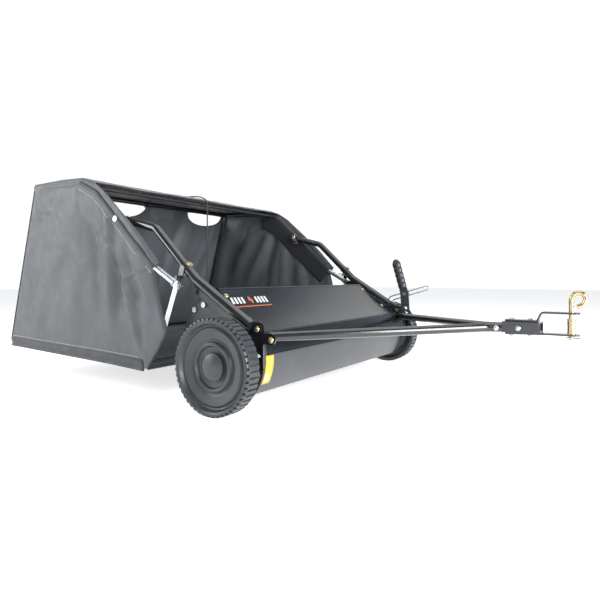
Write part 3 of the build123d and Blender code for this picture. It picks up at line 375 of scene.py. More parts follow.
def moulded_plastic(name, colour, roughness=0.5, grain=1800.0, relief=0.00002):
    """Moulded plastic with a fine spark texture and slight flow marks."""
    paint = Paint(name, roughness, specular=0.5)
    low, high = shades(colour, 0.16)
    paint.colour(paint.ramp(paint.noise(18.0, 5.0), low, high))
    paint.rough(paint.spread(paint.noise(45.0, 4.0), roughness * 0.85, roughness * 1.15))
    paint.bump(paint.noise(grain, 2.0), relief)
    return paint.material


def woven_fabric(name, colour, painted_light_patches=()):
    """Coated woven cloth: weave, creases and a soft sheen.

    Each patch is (y low, y high, colour): painted light, a stretch of the bag's top painted lighter as if
    more light fell on it.
    """
    paint = Paint(name, 0.52, sheen=0.15, specular=0.5)
    low, high = shades(colour, 0.12)
    base = paint.ramp(paint.noise(5.0, 6.0), low, high)
    weave_and_painted_light = paint.mix(0.12, base, paint.cells(900.0), "SOFT_LIGHT")
    # painted light: each patch mixes a lighter colour into the cloth over a stretch of the bag's top
    for y_low, y_high, lighter in painted_light_patches:
        painted_light_mask = paint.times(paint.between("Y", y_low, y_high, 0.006), paint.between("Z", 0.6, 0.75))
        front = paint.times(painted_light_mask, paint.between("X", -0.80, -0.42))
        weave_and_painted_light = paint.mix(front, weave_and_painted_light, lighter)
    paint.colour(weave_and_painted_light)
    paint.rough(paint.spread(paint.noise(40.0, 5.0), 0.48, 0.66))
    for axis in "XYZ":
        paint.bump(paint.bands(axis, 260.0), 0.00004, 0.5)
    paint.bump(paint.noise(22.0, 7.0, (1, 1, 0.5)), 0.0016, 0.45)
    return paint.material


def rope_yarn(name, colour):
    """Braided cord: slanting strands."""
    paint = Paint(name, 0.7, sheen=0.3)
    low, high = shades(colour, 0.3)
    strands = paint.bands("DIAGONAL", 130.0, 1.0)
    paint.colour(paint.ramp(strands, low, high, 0.2, 0.8))
    paint.bump(strands, 0.0005)
    return paint.material


def tube_with_bright_end(name):
    """Black painted tube whose flattened front end is bare zinc plate."""
    paint = Paint(name, 0.25)
    bare = paint.between("X", -0.215, 0.0, 0.004)
    stain = paint.ramp(paint.noise(60.0, 5.0), (0.44, 0.49, 0.54), (0.60, 0.65, 0.70))
    paint.colour(paint.mix(bare, (0.012, 0.013, 0.015), stain))
    paint.feed(paint.times(bare, 0.85), paint.shader.inputs["Metallic"])
    paint.rough(paint.spread(paint.noise(120.0, 4.0), 0.2, 0.34))
    paint.bump(paint.noise(420.0, 2.0), 0.00001)
    return paint.material


def flat_print(name, colour):
    """A printed label with a faint grain."""
    paint = Paint(name, 0.35, coat=0.3)
    low, high = shades(colour, 0.05)
    paint.colour(paint.ramp(paint.noise(120.0, 4.0), low, high))
    paint.bump(paint.noise(1500.0, 2.0), 0.00001)
    return paint.material


BLACK = gloss_paint("black_gloss", (0.010, 0.011, 0.013), 0.2)
PANEL = gloss_paint("panel_gloss", (0.006, 0.009, 0.012), 0.24, 0.3, 0.25)
COVER = satin_paint("cover_satin", (0.022, 0.025, 0.030), 0.32, 900.0, 0.00001, 0.2)
PLATE = satin_paint("plate_wrinkle", (0.022, 0.024, 0.027), 0.45, 1300.0, 0.00008)
LEVER = satin_paint("lever_wrinkle", (0.022, 0.023, 0.025), 0.42, 1500.0, 0.00010)
ZINC = plated_steel("zinc_plate", (0.46, 0.50, 0.54))
YELLOW = plated_steel("yellow_zinc", (0.50, 0.40, 0.24), 0.25)
WHEEL = moulded_plastic("wheel_plastic", (0.026, 0.029, 0.033), 0.40)
CAP = moulded_plastic("cap_plastic", (0.026, 0.029, 0.034), 0.34, 2500.0, 0.00001)
GEAR = moulded_plastic("gear_plastic", (0.06, 0.06, 0.065), 0.5)
RUBBER = moulded_plastic("grip_rubber", (0.016, 0.019, 0.024), 0.38, 900.0, 0.00004)
KNOB = moulded_plastic("knob_plastic", (0.010, 0.010, 0.012), 0.35)
NYLON = moulded_plastic("bristle_nylon", (0.012, 0.012, 0.014), 0.4)
# bag_cloth carries two painted light patches: lighter stretches of the bag's top standing in for light
# falling on it
CLOTH = woven_fabric("bag_cloth", (0.056, 0.063, 0.070),
                     [(-0.33, -0.20, (0.085, 0.09, 0.10)), (0.03, 0.16, (0.085, 0.09, 0.10))])
FACING = woven_fabric("facing_cloth", (0.010, 0.013, 0.017))
BINDING = woven_fabric("binding_cloth", (0.016, 0.019, 0.023))
THREAD = flat_print("thread", (0.50, 0.52, 0.54))
CORD = rope_yarn("rope_yarn", (0.012, 0.012, 0.013))
LABEL = flat_print("label_yellow", (0.50, 0.33, 0.015))
WHITE = flat_print("print_white", (0.52, 0.52, 0.51))
ORANGE = flat_print("print_orange", (0.38, 0.07, 0.02))

TUBE_END = tube_with_bright_end("side_tube_paint")

PAINTS = {
    "black_paint": BLACK, "panel_black": PANEL, "cover_grey": COVER, "plate_grey": PLATE,
    "zinc": ZINC, "yellow_zinc": YELLOW, "wheel_plastic": WHEEL, "cap_plastic": CAP,
    "gear_plastic": GEAR, "bristle_nylon": NYLON, "grip_rubber": RUBBER, "knob_plastic": KNOB,
    "bag_fabric": CLOTH, "rope_fibre": CORD,
}


def paint_frame():
    """Give every CAD node the full material of its slot."""
    for entry in RECORD["subparts"]:
        for slot in NODES[entry["node"]].material_slots:
            slot.material = PAINTS[entry["material_slot"]]
    for slot in NODES["lever_strap"].material_slots:
        slot.material = LEVER
    for side in ("right", "left"):
        for slot in NODES[f"hopper_side_tube_{side}"].material_slots:
            slot.material = TUBE_END


paint_frame()


# ---- dump rope ----------------------------------------------------------------------------------
def smooth_step(value):
    """0 to 1 with a gentle start and end."""
    value = min(1.0, max(0.0, value))
    return value * value * (3 - 2 * value)


def coil_points():
    """The coil's turns: each lies beside or on the one before, then the end climbs to its knot."""
    end = ROPE_ROUTE[-1]
    centre_x, centre_y = end[0] - COIL_R, end[1]
    floor_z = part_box("rope_coil")[0][2]
    pitch = 2 * ROPE_R + 0.0001
    first, between = 2 * math.pi - 0.5, 2 * math.pi - SHIFT_TIME
    total = 2 * math.pi * COIL_TURNS - COIL_GAP
    points = []
    for k in range(1, int(total / TURN_STEP) + 1):
        turn = min(total, TURN_STEP * k)
        place = sum(smooth_step((turn - first - j * between) / SHIFT_TIME + 0.5)
                    for j in range(len(COIL_PLACES) - 1))
        low = min(int(place), len(COIL_PLACES) - 2)
        share = place - low
        column = COIL_PLACES[low][0] * (1 - share) + COIL_PLACES[low + 1][0] * share
        layer = COIL_PLACES[low][1] * (1 - share) + COIL_PLACES[low + 1][1] * share
        climb = smooth_step((turn - (total - 2.3)) / 1.0)
        outward = smooth_step((turn - (total - 1.1)) / 0.9)
        radius = COIL_R + pitch * column * (1 - outward)
        height = floor_z + ROPE_R + pitch * (layer + 1.45 * climb)
        points.append((centre_x + radius * math.cos(turn), centre_y - radius * math.sin(turn), height))
    return points


def barrel_knot(name, centre, axis, radius, turns):
    """A stop knot: the rope wound round itself."""
    axis = np.array(axis, float) / np.linalg.norm(axis)
    side = np.cross(axis, (0, 0, 1))
    side /= np.linalg.norm(side)
    other = np.cross(axis, side)
    length = turns * 2 * ROPE_R
    points = []
    for k in range(int(12 * turns) + 1):
        angle = 2 * math.pi * k / 12
        run = -length / 2 + length * k / (12 * turns)
        points.append(np.array(centre) + axis * run
                      + radius * (side * math.cos(angle) + other * math.sin(angle)))
    return tube_curve(name, points, ROPE_R * 0.96, CORD)


def make_rope():
    """The dump rope, its loop round the rear tube and its knots."""
    rope = tube_curve("rope", ROPE_ROUTE + coil_points(), ROPE_R, CORD)
    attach(rope, "hopper")
    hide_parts("dump_rope", "rope_coil")
    low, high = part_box("rear_top_tube")
    tube_x, tube_z = (low[0] + high[0]) / 2, (low[2] + high[2]) / 2
    y = ROPE_ROUTE[0][1]
    ring = []
    for k in range(16):
        angle = math.pi * k / 8
        ring.append((tube_x + ROPE_LOOP_R * math.cos(angle), y, tube_z + ROPE_LOOP_R * math.sin(angle)))
    loop = tube_curve("rope_loop", ring, ROPE_R, CORD, 4, True)
    tie = barrel_knot("rope_tie_knot", (tube_x + 0.014, y, tube_z + 0.0206), (1, 0, 0.2), 0.0025, 2.5)
    low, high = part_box("rope_knot")
    middle = [(a + b) / 2 for a, b in zip(low, high)]
    stop = barrel_knot("rope_stop_knot", middle, (0, 1, 0), 0.0026, 2.3)
    for piece in (loop, tie, stop):
        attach(piece, "hopper")
    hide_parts("rope_tie")
    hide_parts("rope_knot")


make_rope()


# Creases of the side walls in (x, z), each with its width and height.
NEAR_FOLDS = [
    ([(-0.395, 0.660), (-0.353, 0.541), (-0.295, 0.445), (-0.262, 0.342), (-0.225, 0.202), (-0.200, 0.125)],
     0.011, 0.0110),
    ([(-0.360, 0.600), (-0.352, 0.480), (-0.342, 0.342), (-0.338, 0.180)], 0.014, 0.0100),
    ([(-0.375, 0.620), (-0.322, 0.500), (-0.300, 0.360), (-0.288, 0.200)], 0.013, -0.0100),
    ([(-0.330, 0.570), (-0.271, 0.456), (-0.222, 0.354), (-0.180, 0.230)], 0.011, -0.0090),
    ([(-0.300, 0.535), (-0.235, 0.450), (-0.190, 0.370), (-0.145, 0.250)], 0.010, 0.0080),
    ([(-0.450, 0.640), (-0.425, 0.520), (-0.400, 0.330), (-0.385, 0.160)], 0.026, -0.0080),
    ([(-0.420, 0.630), (-0.395, 0.500), (-0.372, 0.340), (-0.365, 0.190)], 0.013, 0.0070),
    ([(-0.510, 0.620), (-0.600, 0.450), (-0.700, 0.330)], 0.035, 0.0055),
    ([(-0.700, 0.660), (-0.760, 0.420), (-0.800, 0.180)], 0.060, -0.0060),
    ([(-0.500, 0.580), (-0.520, 0.380), (-0.540, 0.150)], 0.040, 0.0060),
    ([(-0.610, 0.420), (-0.680, 0.250), (-0.720, 0.140)], 0.035, -0.0040),
]
FAR_FOLDS = [
    ([(-0.440, 0.655), (-0.560, 0.440), (-0.640, 0.300)], 0.026, -0.0140),
    ([(-0.430, 0.640), (-0.500, 0.400), (-0.520, 0.200)], 0.022, 0.0120),
    ([(-0.380, 0.580), (-0.400, 0.420), (-0.405, 0.200)], 0.016, -0.0110),
    ([(-0.330, 0.530), (-0.340, 0.400), (-0.335, 0.200)], 0.013, 0.0100),
    ([(-0.290, 0.490), (-0.295, 0.360), (-0.285, 0.200)], 0.011, -0.0100),
    ([(-0.245, 0.440), (-0.250, 0.330), (-0.240, 0.200)], 0.010, 0.0090),
    ([(-0.200, 0.400), (-0.205, 0.330), (-0.195, 0.200)], 0.010, -0.0090),
    ([(-0.600, 0.670), (-0.720, 0.480), (-0.800, 0.320)], 0.034, 0.0120),
    ([(-0.520, 0.660), (-0.640, 0.500), (-0.720, 0.380)], 0.028, -0.0100),
    ([(-0.740, 0.660), (-0.830, 0.400), (-0.870, 0.200)], 0.045, -0.0090),
]
# Creases of the back in (y, height up the wall).
BACK_FOLDS = [
    ([(-0.236, 0.56), (-0.330, 0.35), (-0.390, 0.10)], 0.028, 0.0110),
    ([(-0.200, 0.50), (-0.240, 0.30), (-0.260, 0.08)], 0.024, -0.0090),
    ([(0.002, 0.56), (0.070, 0.34), (0.110, 0.08)], 0.024, 0.0110),
    ([(-0.030, 0.50), (-0.010, 0.30), (0.010, 0.08)], 0.022, -0.0080),
    ([(0.240, 0.56), (0.175, 0.36), (0.140, 0.10)], 0.024, 0.0110),
    ([(0.290, 0.50), (0.260, 0.30), (0.220, 0.06)], 0.024, -0.0090),
    ([(0.474, 0.56), (0.400, 0.36), (0.330, 0.08)], 0.026, -0.0100),
    ([(0.420, 0.50), (0.420, 0.30), (0.400, 0.06)], 0.030, 0.0080),
    ([(-0.117, 0.50), (-0.120, 0.30), (-0.150, 0.05)], 0.040, -0.0070),
    ([(-0.490, 0.56), (-0.430, 0.36), (-0.400, 0.06)], 0.035, -0.0070),
]


def crease(points, folds):
    """Height of the cloth over flat from a list of creases."""
    height = np.zeros(len(points))
    for line, width, rise in folds:
        off, share = line_distance(points, line)
        fade = np.clip(share * 6, 0, 1) * np.clip((1 - share) * 5, 0.0, 1)
        height += rise * fade * np.exp(-(off / width) ** 2)
        height -= 0.45 * rise * fade * np.exp(-((off - 1.9 * width) / (1.4 * width)) ** 2)
    return height


def ripple(points, phase):
    """Low irregular waves in slack cloth."""
    a, b = points[:, 0], points[:, 1]
    height = 0.0016 * np.sin(31 * a + 9 * b + phase) * np.sin(7 * b - 3 * a + phase)
    height += 0.0009 * np.sin(67 * a - 21 * b + 2 * phase) * np.cos(17 * b + phase)
    return height + 0.0005 * np.sin(150 * a + 40 * b + phase) * np.sin(60 * b)


def wall_height(points, side):
    """How far a side wall stands out from its flat place."""
    folds = FAR_FOLDS if side > 0 else NEAR_FOLDS
    edge, _ = line_distance(points, OUTSIDE)
    slack = np.clip(np.abs(edge) / 0.05, 0, 1)
    height = (crease(points, folds) + ripple(points, 1.3 * side)) * slack
    tube, _ = line_distance(points, SIDE_TUBE)
    round_tube = TUBE_Y + np.sqrt(np.clip((TUBE_R + 0.0015) ** 2 - tube ** 2, 0, None)) - WALL_Y
    over_tube = np.where(np.abs(tube) < TUBE_R, round_tube, -1.0)
    height = height * np.clip((np.abs(tube) - TUBE_R) / 0.03, 0, 1)
    behind_facing = np.clip(2.7 - np.abs(tube) / 0.05, 0, 1)
    height = np.maximum(height, -0.0010 - 0.02 * (1 - behind_facing))
    corner = np.clip(1 - np.abs(edge) / 0.012, 0, 1)
    return np.maximum(height - WALL_INSET, over_tube) - 0.006 * corner ** 2


def bag_grid():
    """Points of the bag's shell: sections round its outside, each from mouth to mouth."""
    sections, deep, wide = 190, 44, 96
    outside = walk(OUTSIDE, sections)
    mouth = walk(MOUTH, sections)
    half = WALL_Y - WALL_INSET
    rows = []
    shares = np.linspace(0, 1, deep) ** 0.9
    across = np.linspace(1, -1, wide + 2)[1:-1]
    for k, (outer, front) in enumerate(zip(outside, mouth)):
        flat = front + (outer - front) * shares[:, None]
        left = [(x, half + h, z) for (x, z), h in zip(flat, wall_height(flat, 1))]
        right = [(x, -half - h, z) for (x, z), h in zip(flat, wall_height(flat, -1))]
        before, after = outside[max(k - 1, 0)], outside[min(k + 1, sections - 1)]
        run = (after - before) / np.linalg.norm(after - before)
        out = np.array((run[1], -run[0]))
        out = -out if out @ (outer - np.array((-0.5, 0.4))) < 0 else out
        lift = band_lift(outer, out, across * half)
        middle = [(outer[0] + out[0] * h, y, outer[1] + out[1] * h)
                  for y, h in zip(across * half, lift)]
        rows.append(left + middle + right[::-1])
    return np.array(rows)


def band_lift(outer, out, across):
    """How far the top, back or floor stands out from its flat place at one section."""
    edge = np.clip((WALL_Y - np.abs(across)) / 0.06, 0, 1)
    x, z = outer
    if out[1] > 0.8:
        points = np.stack([np.full(len(across), x), across], axis=1)
        near_ends = math.sin(math.pi * min(1, max(0, (x + 0.7805) / 0.35)))
        return (ripple(points * 0.8, 0.4) - 0.005 * near_ends * edge) * edge
    if out[1] < -0.8:
        share = min(1, max(0, (x + 0.93) / 0.76))
        points = np.stack([np.full(len(across), x), across], axis=1)
        return (0.004 * math.sin(math.pi * share) + 1.2 * ripple(points, 2.0)) * edge
    up = (z - 0.125) / 0.96
    points = np.stack([across, np.full(len(across), up)], axis=1)
    belly = 0.008 * math.sin(math.pi * min(1, max(0, up / 0.588)))
    ends = min(1, max(0, min(up, 0.588 - up) / 0.05))
    return (belly + crease(points, BACK_FOLDS) + ripple(points, 3.0)) * edge * ends


def hand_hole_outline(low, high, steps=28):
    """Half-moon in (y, distance down the back), flat side up."""
    half, middle = (high - low) / 2, (high + low) / 2
    angles = np.linspace(0, math.pi, steps)
    return [(middle + half * math.cos(a), HOLE_TOP + HOLE_DEPTH * math.sin(a) ** 0.92) for a in angles]


HAND_HOLES = [(-0.236, 0.002), (0.240, 0.474)]
REAR_TOP = np.array((-0.7805, 0.690))
REAR_LOW = np.array((-0.9465, 0.125))
DOWN = (REAR_LOW - REAR_TOP) / np.linalg.norm(REAR_LOW - REAR_TOP)


def on_back(y, down, out=0.0):
    """The point of the back at a distance down from its top edge."""
    x, z = REAR_TOP + DOWN * down + np.array((DOWN[1], -DOWN[0])) * out
    return (x, y, z)


def hole_cutter(low, high):
    """A prism through the back in the shape of a hand hole."""
    outline = hand_hole_outline(low, high)
    points = [on_back(y, d, out) for out in (-0.04, 0.04) for y, d in outline]
    count = len(outline)
    faces = [tuple(range(count)), tuple(range(2 * count - 1, count - 1, -1))]
    faces += [(k, (k + 1) % count, count + (k + 1) % count, count + k) for k in range(count)]
    cutter = mesh_object("cutter", points, faces, CLOTH)
    sheet = bmesh.new()
    sheet.from_mesh(cutter.data)
    bmesh.ops.recalc_face_normals(sheet, faces=sheet.faces)
    sheet.to_mesh(cutter.data)
    sheet.free()
    return cutter


def make_bag():
    """The bag: one lofted shell of cloth with two hand holes."""
    rows = bag_grid()
    count, columns = rows.shape[:2]
    bag = mesh_object("bag", rows.reshape(-1, 3), grid_faces(count, columns), CLOTH)
    sheet = bmesh.new()
    sheet.from_mesh(bag.data)
    bmesh.ops.remove_doubles(sheet, verts=sheet.verts, dist=0.0004)
    bmesh.ops.dissolve_degenerate(sheet, edges=sheet.edges, dist=0.0003)
    bmesh.ops.recalc_face_normals(sheet, faces=sheet.faces)
    sheet.to_mesh(bag.data)
    sheet.free()
    thick = bag.modifiers.new("thick", "SOLIDIFY")
    thick.thickness = FABRIC_T
    thick.offset = 0
    cutters = [hole_cutter(low, high) for low, high in HAND_HOLES]
    for cutter in cutters:
        cut = bag.modifiers.new("cut", "BOOLEAN")
        cut.operation = "DIFFERENCE"
        cut.solver = "EXACT"
        cut.object = cutter
    bake_modifiers(bag)
    for cutter in cutters:
        bpy.data.objects.remove(cutter)
    bag.data.polygons.foreach_set("use_smooth", [True] * len(bag.data.polygons))
    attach(bag, "hopper")
    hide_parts("bag_side_right", "bag_side_left", "bag_back", "bag_floor", "bag_top")
    return bag


def strip(name, line, profile, paint, side=1):
    """A strip of cloth: a profile of (offset out of the line, y) carried along a line in (x, z)."""
    line = np.array(line)
    rows = []
    for k, at in enumerate(line):
        run = line[min(k + 1, len(line) - 1)] - line[max(k - 1, 0)]
        run /= np.linalg.norm(run)
        out = np.array((-run[1], run[0]))
        out = -out if out[1] < 0 else out
        rows.append([(at[0] + out[0] * off, side * y, at[1] + out[1] * off) for off, y in profile])
    rows = np.array(rows)
    piece = mesh_object(name, rows.reshape(-1, 3), grid_faces(*rows.shape[:2]), paint)
    thicken(piece, FABRIC_T)
    piece.data.polygons.foreach_set("use_smooth", [True] * len(piece.data.polygons))
    return piece


def make_sleeves():
    """Sleeves round the side tubes, with a dark facing that runs back down the inside."""
    pieces = []
    line = walk(SIDE_TUBE[1:], 90)
    reach = TUBE_R + 0.0022
    over = [(reach * math.cos(a), TUBE_Y + reach * math.sin(a)) for a in np.linspace(1.9, -1.5, 16)]
    facing = [(-0.012, TUBE_Y - 0.0105), (-0.026, TUBE_Y - 0.008), (-0.045, TUBE_Y - 0.002),
              (-0.062, WALL_Y - 0.0075), (-0.074, WALL_Y - 0.0060)]
    for name, side in (("right", -1), ("left", 1)):
        piece = strip(f"bag_sleeve_{name}", line, over + facing, FACING, side)
        pieces.append(sew(piece))
    return pieces


def bar_mesh(points_a, points_b, width, lift):
    """Corner points of a small flat-topped stitch from a to b."""
    a, b = np.array(points_a), np.array(points_b)
    run = (b - a) / np.linalg.norm(b - a)
    lift = np.array(lift, float)
    side = np.cross(run, lift)
    side /= np.linalg.norm(side)
    low = [a - side * width, a + side * width, b + side * width, b - side * width]
    middle = [a + run * width - side * width * 0.6 + lift, a + run * width + side * width * 0.6 + lift,
              b - run * width + side * width * 0.6 + lift, b - run * width - side * width * 0.6 + lift]
    return low + middle


BAR_FACES = [(0, 1, 2, 3), (4, 7, 6, 5), (0, 4, 5, 1), (1, 5, 6, 2), (2, 6, 7, 3), (3, 7, 4, 0)]


def stitch_row(line, lift, pitch=0.011, length=0.007, width=0.0007):
    """Stitches along a line of 3-D points: their corner points and faces."""
    line = np.array(line, float)
    marks = np.concatenate([[0], np.cumsum(np.linalg.norm(np.diff(line, axis=0), axis=1))])
    points, faces = [], []
    for start in np.arange(0.004, marks[-1] - length, pitch):
        ends = [[np.interp(m, marks, line[:, k]) for k in range(3)] for m in (start, start + length)]
        base = len(points)
        points += bar_mesh(ends[0], ends[1], width, lift)
        faces += [tuple(base + v for v in face) for face in BAR_FACES]
    return points, faces


def wall_line(line, side):
    """3-D points just off a side wall's outer face from points in (x, z)."""
    line = walk(line, 80)
    face = WALL_Y - WALL_INSET + FABRIC_T / 2 + 0.00024
    return [(x, side * (face + h), z) for (x, z), h in zip(line, wall_height(line, side))]


def make_stitches():
    """Pale stitches along the lower seams and the sleeves."""
    points, faces = [], []

    def add(row):
        base = len(points)
        points.extend(row[0])
        faces.extend(tuple(base + v for v in face) for face in row[1])

    seam = [(-0.925, 0.140), (-0.60, 0.131), (-0.34, 0.124), (-0.200, 0.118)]
    sleeve = [(x - 0.012, z - 0.017) for x, z in walk(SIDE_TUBE[1:], 12)]
    for side in (-1, 1):
        add(stitch_row(wall_line(seam, side), (0, side * 0.0006, 0)))
        add(stitch_row(wall_line(sleeve, side), (0, side * 0.0006, 0)))
    piece = mesh_object("bag_stitches", points, faces, THREAD, smooth=False)
    return sew(piece)


def make_bindings():
    """Bound edges: round the mouth, the hand holes, and the lower seams."""
    pieces = []
    for name, side in (("right", -1), ("left", 1)):
        pieces.append(bind(f"bag_edge_{name}", cloth_line(MOUTH[4:], side), 0.0022))
        seam = [(-0.938, 0.133), (-0.60, 0.124), (-0.34, 0.117), (-0.190, 0.111)]
        pieces.append(bind(f"bag_seam_{name}", cloth_line(seam, side), 0.0018))
        corner = [(x, side * (WALL_Y - 0.0062), z) for x, z in walk([REAR_TOP, REAR_LOW], 30)]
        pieces.append(bind(f"bag_corner_{name}", corner, 0.0020))
    for k, (low, high) in enumerate(HAND_HOLES):
        outline = hand_hole_outline(low, high, 40)
        edge = [on_back(y, d, hole_edge_lift(y, d)) for y, d in outline]
        pieces.append(bind(f"hand_hole_{k + 1}", edge, 0.0024, True))
    front_x, front_z = MOUTH[-1]
    lip = [(front_x, y, front_z) for y in np.linspace(0.008 - WALL_Y, WALL_Y - 0.008, 40)]
    pieces.append(bind("bag_floor_edge", lip, 0.0030))
    return pieces


def cloth_line(line, side):
    """3-D points along the middle of a side wall's cloth from a line in (x, z)."""
    line = walk(line, 60)
    heights = wall_height(line, side)
    return [(x, side * (WALL_Y - WALL_INSET + h), z) for (x, z), h in zip(line, heights)]


def hole_edge_lift(y, down):
    """How far the back's cloth stands out at a point of a hand hole's edge."""
    along = REAR_TOP + DOWN * down
    out = np.array((DOWN[1], -DOWN[0]))
    lift = band_lift(along, out, np.array([y]))
    return float(lift[0])


def bind(name, points, radius, closed=False):
    """A bound or piped edge along a line."""
    piece = tube_curve(name, points, radius, BINDING, 3, closed)
    return sew(piece)


def make_lower_band():
    """The darker band of heavier cloth along the foot of each side wall."""
    pieces = []
    drops = np.linspace(0.004, -0.027, 8)
    for name, side in (("right", -1), ("left", 1)):
        rows = []
        for x, z in walk([(-0.940, 0.128), (-0.60, 0.119), (-0.34, 0.112), (-0.185, 0.105)], 70):
            places = np.array([(x, z + drop) for drop in drops])
            heights = wall_height(places, side)
            rows.append([(x, side * (WALL_Y + h + 0.0004), z + drop) for drop, h in zip(drops, heights)])
        rows = np.array(rows)
        piece = mesh_object(f"bag_band_{name}", rows.reshape(-1, 3), grid_faces(*rows.shape[:2]), BINDING)
        thicken(piece, 0.0008)
        pieces.append(sew(piece))
    return pieces


def make_soft_goods():
    """The bag and all that is sewn to it."""
    bag = make_bag()
    sewn = make_sleeves() + [make_stitches()] + make_bindings() + make_lower_band()


make_soft_goods()


# ---- brush ----------------------------------------------------------------------------------------
def make_bristles():
    """Rows of nylon bristles, each fanned and slightly bent."""
    rng = np.random.default_rng(7)
    low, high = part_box("brush_bristles")
    inner, outer = 0.0435, 0.1165
    points, faces = [], []
    rows = 6
    for row in range(rows):
        angle = math.radians(360 / rows * row + 10)
        out = np.array((math.cos(angle), 0, math.sin(angle)))
        side = np.array((-math.sin(angle), 0, math.cos(angle)))
        for y in np.arange(low[1] + 0.003, high[1] - 0.003, 0.0058):
            for strand in range(5):
                lean = rng.uniform(-0.0075, 0.0075)
                drift = rng.uniform(-0.006, 0.006)
                reach = outer - rng.uniform(0.0, 0.004)
                centre = np.array((BRUSH_X, y + rng.uniform(-0.002, 0.002), BRUSH_Z))
                base = len(points)
                for share in (0.0, 0.35, 0.7, 1.0):
                    bend = share ** 1.6
                    at = centre + out * (inner + (reach - inner) * share) + side * (lean * bend)
                    at = at + np.array((0, drift * bend, 0)) + side * (strand - 2) * 0.0013
                    width = 0.00075 * (1 - 0.3 * share)
                    for k in range(3):
                        turn = 2 * math.pi * k / 3
                        points.append(at + side * width * math.cos(turn)
                                      + np.array((0, 1, 0)) * width * math.sin(turn))
                for level in range(3):
                    for k in range(3):
                        a = base + 3 * level
                        b = a + 3
                        faces.append((a + k, a + (k + 1) % 3, b + (k + 1) % 3, b + k))
                faces.append((base + 9, base + 10, base + 11))
                faces.append((base + 2, base + 1, base))
    piece = mesh_object("bristles", points, faces, NYLON, smooth=False)
    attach(piece, "brush")
    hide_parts("brush_bristles")


make_bristles()


# ---- labels -----------------------------------------------------------------------------------------
def on_cover(y, z, lift=0.0003):
    """A point on the brush cover's outer face."""
    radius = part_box("brush_cover")[1][0] - BRUSH_X + lift
    return (BRUSH_X + math.sqrt(radius ** 2 - (z - BRUSH_Z) ** 2), y, z)


def cover_patch(name, low_y, high_y, low_z, high_z, lift, paint):
    """A rectangular label wrapped on the brush cover."""
    rows = [[on_cover(y, z, lift) for y in np.linspace(low_y, high_y, 4)]
            for z in np.linspace(low_z, high_z, 14)]
    rows = np.array(rows)
    piece = mesh_object(name, rows.reshape(-1, 3), grid_faces(*rows.shape[:2]), paint)
    thicken(piece, 0.0002)
    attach(piece, "chassis")


def on_panel(y, share, lift=0.0004):
    """A point on the top panel, by its share of the way from the rear hem to the front fold."""
    panel = NODES["upper_panel"]
    hem, fold = np.array((0.0535, 0.3200)), np.array((0.2134, 0.2113))
    run = fold - hem
    x, z = hem + run * share
    up = np.array((-run[1], 0.0, run[0])) / np.hypot(*run)
    start = np.array((x, y, z)) + up * 0.05
    found, place, _, _ = panel.ray_cast(tuple(start), tuple(-up), distance=0.12)
    return tuple(np.array(place) + up * lift) if found else (x, y, z)


def panel_patch(name, corners, lift, paint):
    """A flat print on the top panel between four corners in (y, share)."""
    low_left, low_right, high_right, high_left = (np.array(c, float) for c in corners)
    rows = []
    for v in np.linspace(0, 1, 7):
        left = low_left + (high_left - low_left) * v
        right = low_right + (high_right - low_right) * v
        rows.append([on_panel(*(left + (right - left) * u), lift) for u in np.linspace(0, 1, 7)])
    rows = np.array(rows)
    piece = mesh_object(name, rows.reshape(-1, 3), grid_faces(*rows.shape[:2]), paint)
    thicken(piece, 0.0002)
    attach(piece, "chassis")


def make_panel_mark():
    """A generic mark: a row of even slanting white bars round an orange diamond, over a line."""
    bars, first_y, pitch = 11, -0.416, 0.0150
    middle = bars // 2
    for k in range(bars):
        y = first_y + pitch * k
        if k == middle:
            shape = [(y - 0.002, 0.24), (y + 0.008, 0.33), (y + 0.018, 0.24), (y + 0.008, 0.15)]
            panel_patch("mark_diamond", shape, 0.0004, ORANGE)
        elif abs(k - middle) > 1:
            shape = [(y - 0.004, 0.31), (y + 0.005, 0.31), (y + 0.013, 0.17), (y + 0.004, 0.17)]
            panel_patch(f"mark_bar_{k + 1}", shape, 0.0004, WHITE)
    panel_patch("mark_line", [(-0.424, 0.395), (-0.262, 0.395), (-0.256, 0.370), (-0.418, 0.370)],
                0.0004, ORANGE)


def make_labels():
    """A plain yellow label with a blank white field on the brush cover."""
    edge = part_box("brush_cover")[0][1]
    cover_patch("label_cover", edge + 0.006, edge + 0.040, 0.072, 0.151, 0.0004, LABEL)
    cover_patch("label_cover_blank", edge + 0.011, edge + 0.024, 0.080, 0.100, 0.0007, WHITE)


make_labels()
make_panel_mark()


# ---- studio -------------------------------------------------------------------------------------------
def area_light(name, place, aim, size, power, colour=(1, 1, 1)):
    """A soft box light."""
    data = bpy.data.lights.new(name, "AREA")
    data.shape = "RECTANGLE"
    data.size, data.size_y = size
    data.energy = power
    data.color = colour
    lamp = bpy.data.objects.new(name, data)
    lamp.location = place
    run = np.array(aim, float) - np.array(place, float)
    lamp.rotation_euler = (math.atan2(math.hypot(run[0], run[1]), -run[2]), 0,
                           math.atan2(run[1], run[0]) - math.pi / 2)
    bpy.context.collection.objects.link(lamp)


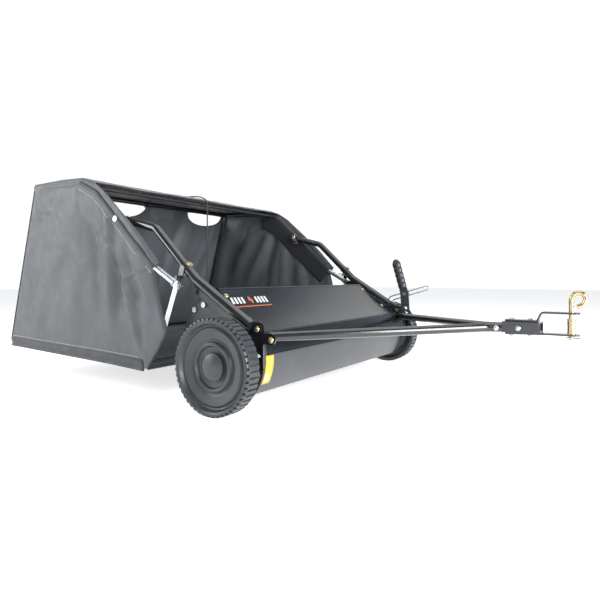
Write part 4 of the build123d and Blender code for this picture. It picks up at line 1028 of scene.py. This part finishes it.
def make_world():
    """Surroundings: a white backdrop low down behind the object, and dim everywhere else."""
    world = bpy.data.worlds.new("studio")
    bpy.context.scene.world = world
    world.use_nodes = True
    nodes, links = world.node_tree.nodes, world.node_tree.links
    direction = nodes.new("ShaderNodeTexCoord").outputs["Generated"]
    behind = nodes.new("ShaderNodeVectorMath")
    behind.operation = "DOT_PRODUCT"
    behind.inputs[1].default_value = (-math.sin(VIEW_TURN), math.cos(VIEW_TURN), 0)
    links.new(direction, behind.inputs[0])
    split = nodes.new("ShaderNodeSeparateXYZ")
    links.new(direction, split.inputs["Vector"])
    ahead = nodes.new("ShaderNodeMapRange")
    ahead.inputs["From Min"].default_value = 0.50
    ahead.inputs["From Max"].default_value = 0.64
    links.new(behind.outputs["Value"], ahead.inputs["Value"])
    low = nodes.new("ShaderNodeMapRange")
    low.inputs["From Min"].default_value = 0.60
    low.inputs["From Max"].default_value = 0.50
    links.new(split.outputs["Z"], low.inputs["Value"])
    both = nodes.new("ShaderNodeMath")
    both.operation = "MULTIPLY"
    links.new(ahead.outputs["Result"], both.inputs[0])
    links.new(low.outputs["Result"], both.inputs[1])
    ramp = nodes.new("ShaderNodeValToRGB")
    ramp.color_ramp.elements[0].color = (0.16, 0.17, 0.19, 1)
    ramp.color_ramp.elements[1].color = (1, 1, 1, 1)
    links.new(both.outputs["Value"], ramp.inputs["Fac"])
    links.new(ramp.outputs["Color"], nodes["Background"].inputs["Color"])
    nodes["Background"].inputs["Strength"].default_value = 1.05


def make_studio():
    """Pale floor, dim surroundings and soft boxes."""
    paint = Paint("studio_floor", 0.9, specular=0.1)
    paint.colour(paint.ramp(paint.noise(0.8, 2.0), (0.93, 0.93, 0.935), (0.95, 0.95, 0.95)))
    paint.shader.inputs["Emission Color"].default_value = (1, 1, 1, 1)
    paint.shader.inputs["Emission Strength"].default_value = 0.62
    size = 14.0
    corners = [(-size, -size, 0), (size, -size, 0), (size, size, 0), (-size, size, 0)]
    floor = mesh_object("studio_floor", corners, [(0, 1, 2, 3)], paint.material, smooth=False)
    make_world()
    area_light("light_top", (0.2, 0.2, 3.0), (0, 0, 0.3), (2.8, 2.8), 50)
    area_light("light_front", (3.2, -0.7, 1.0), (-0.6, 0.1, 0.4), (2.4, 1.6), 225)
    area_light("light_left", (-3.0, -2.4, 1.4), (-0.4, 0, 0.3), (2.0, 2.2), 88)
    area_light("light_side", (0.9, -3.2, 1.6), (0.1, -0.5, 0.2), (2.2, 1.4), 22)
    bpy.context.scene.view_settings.view_transform = "Standard"


make_studio()
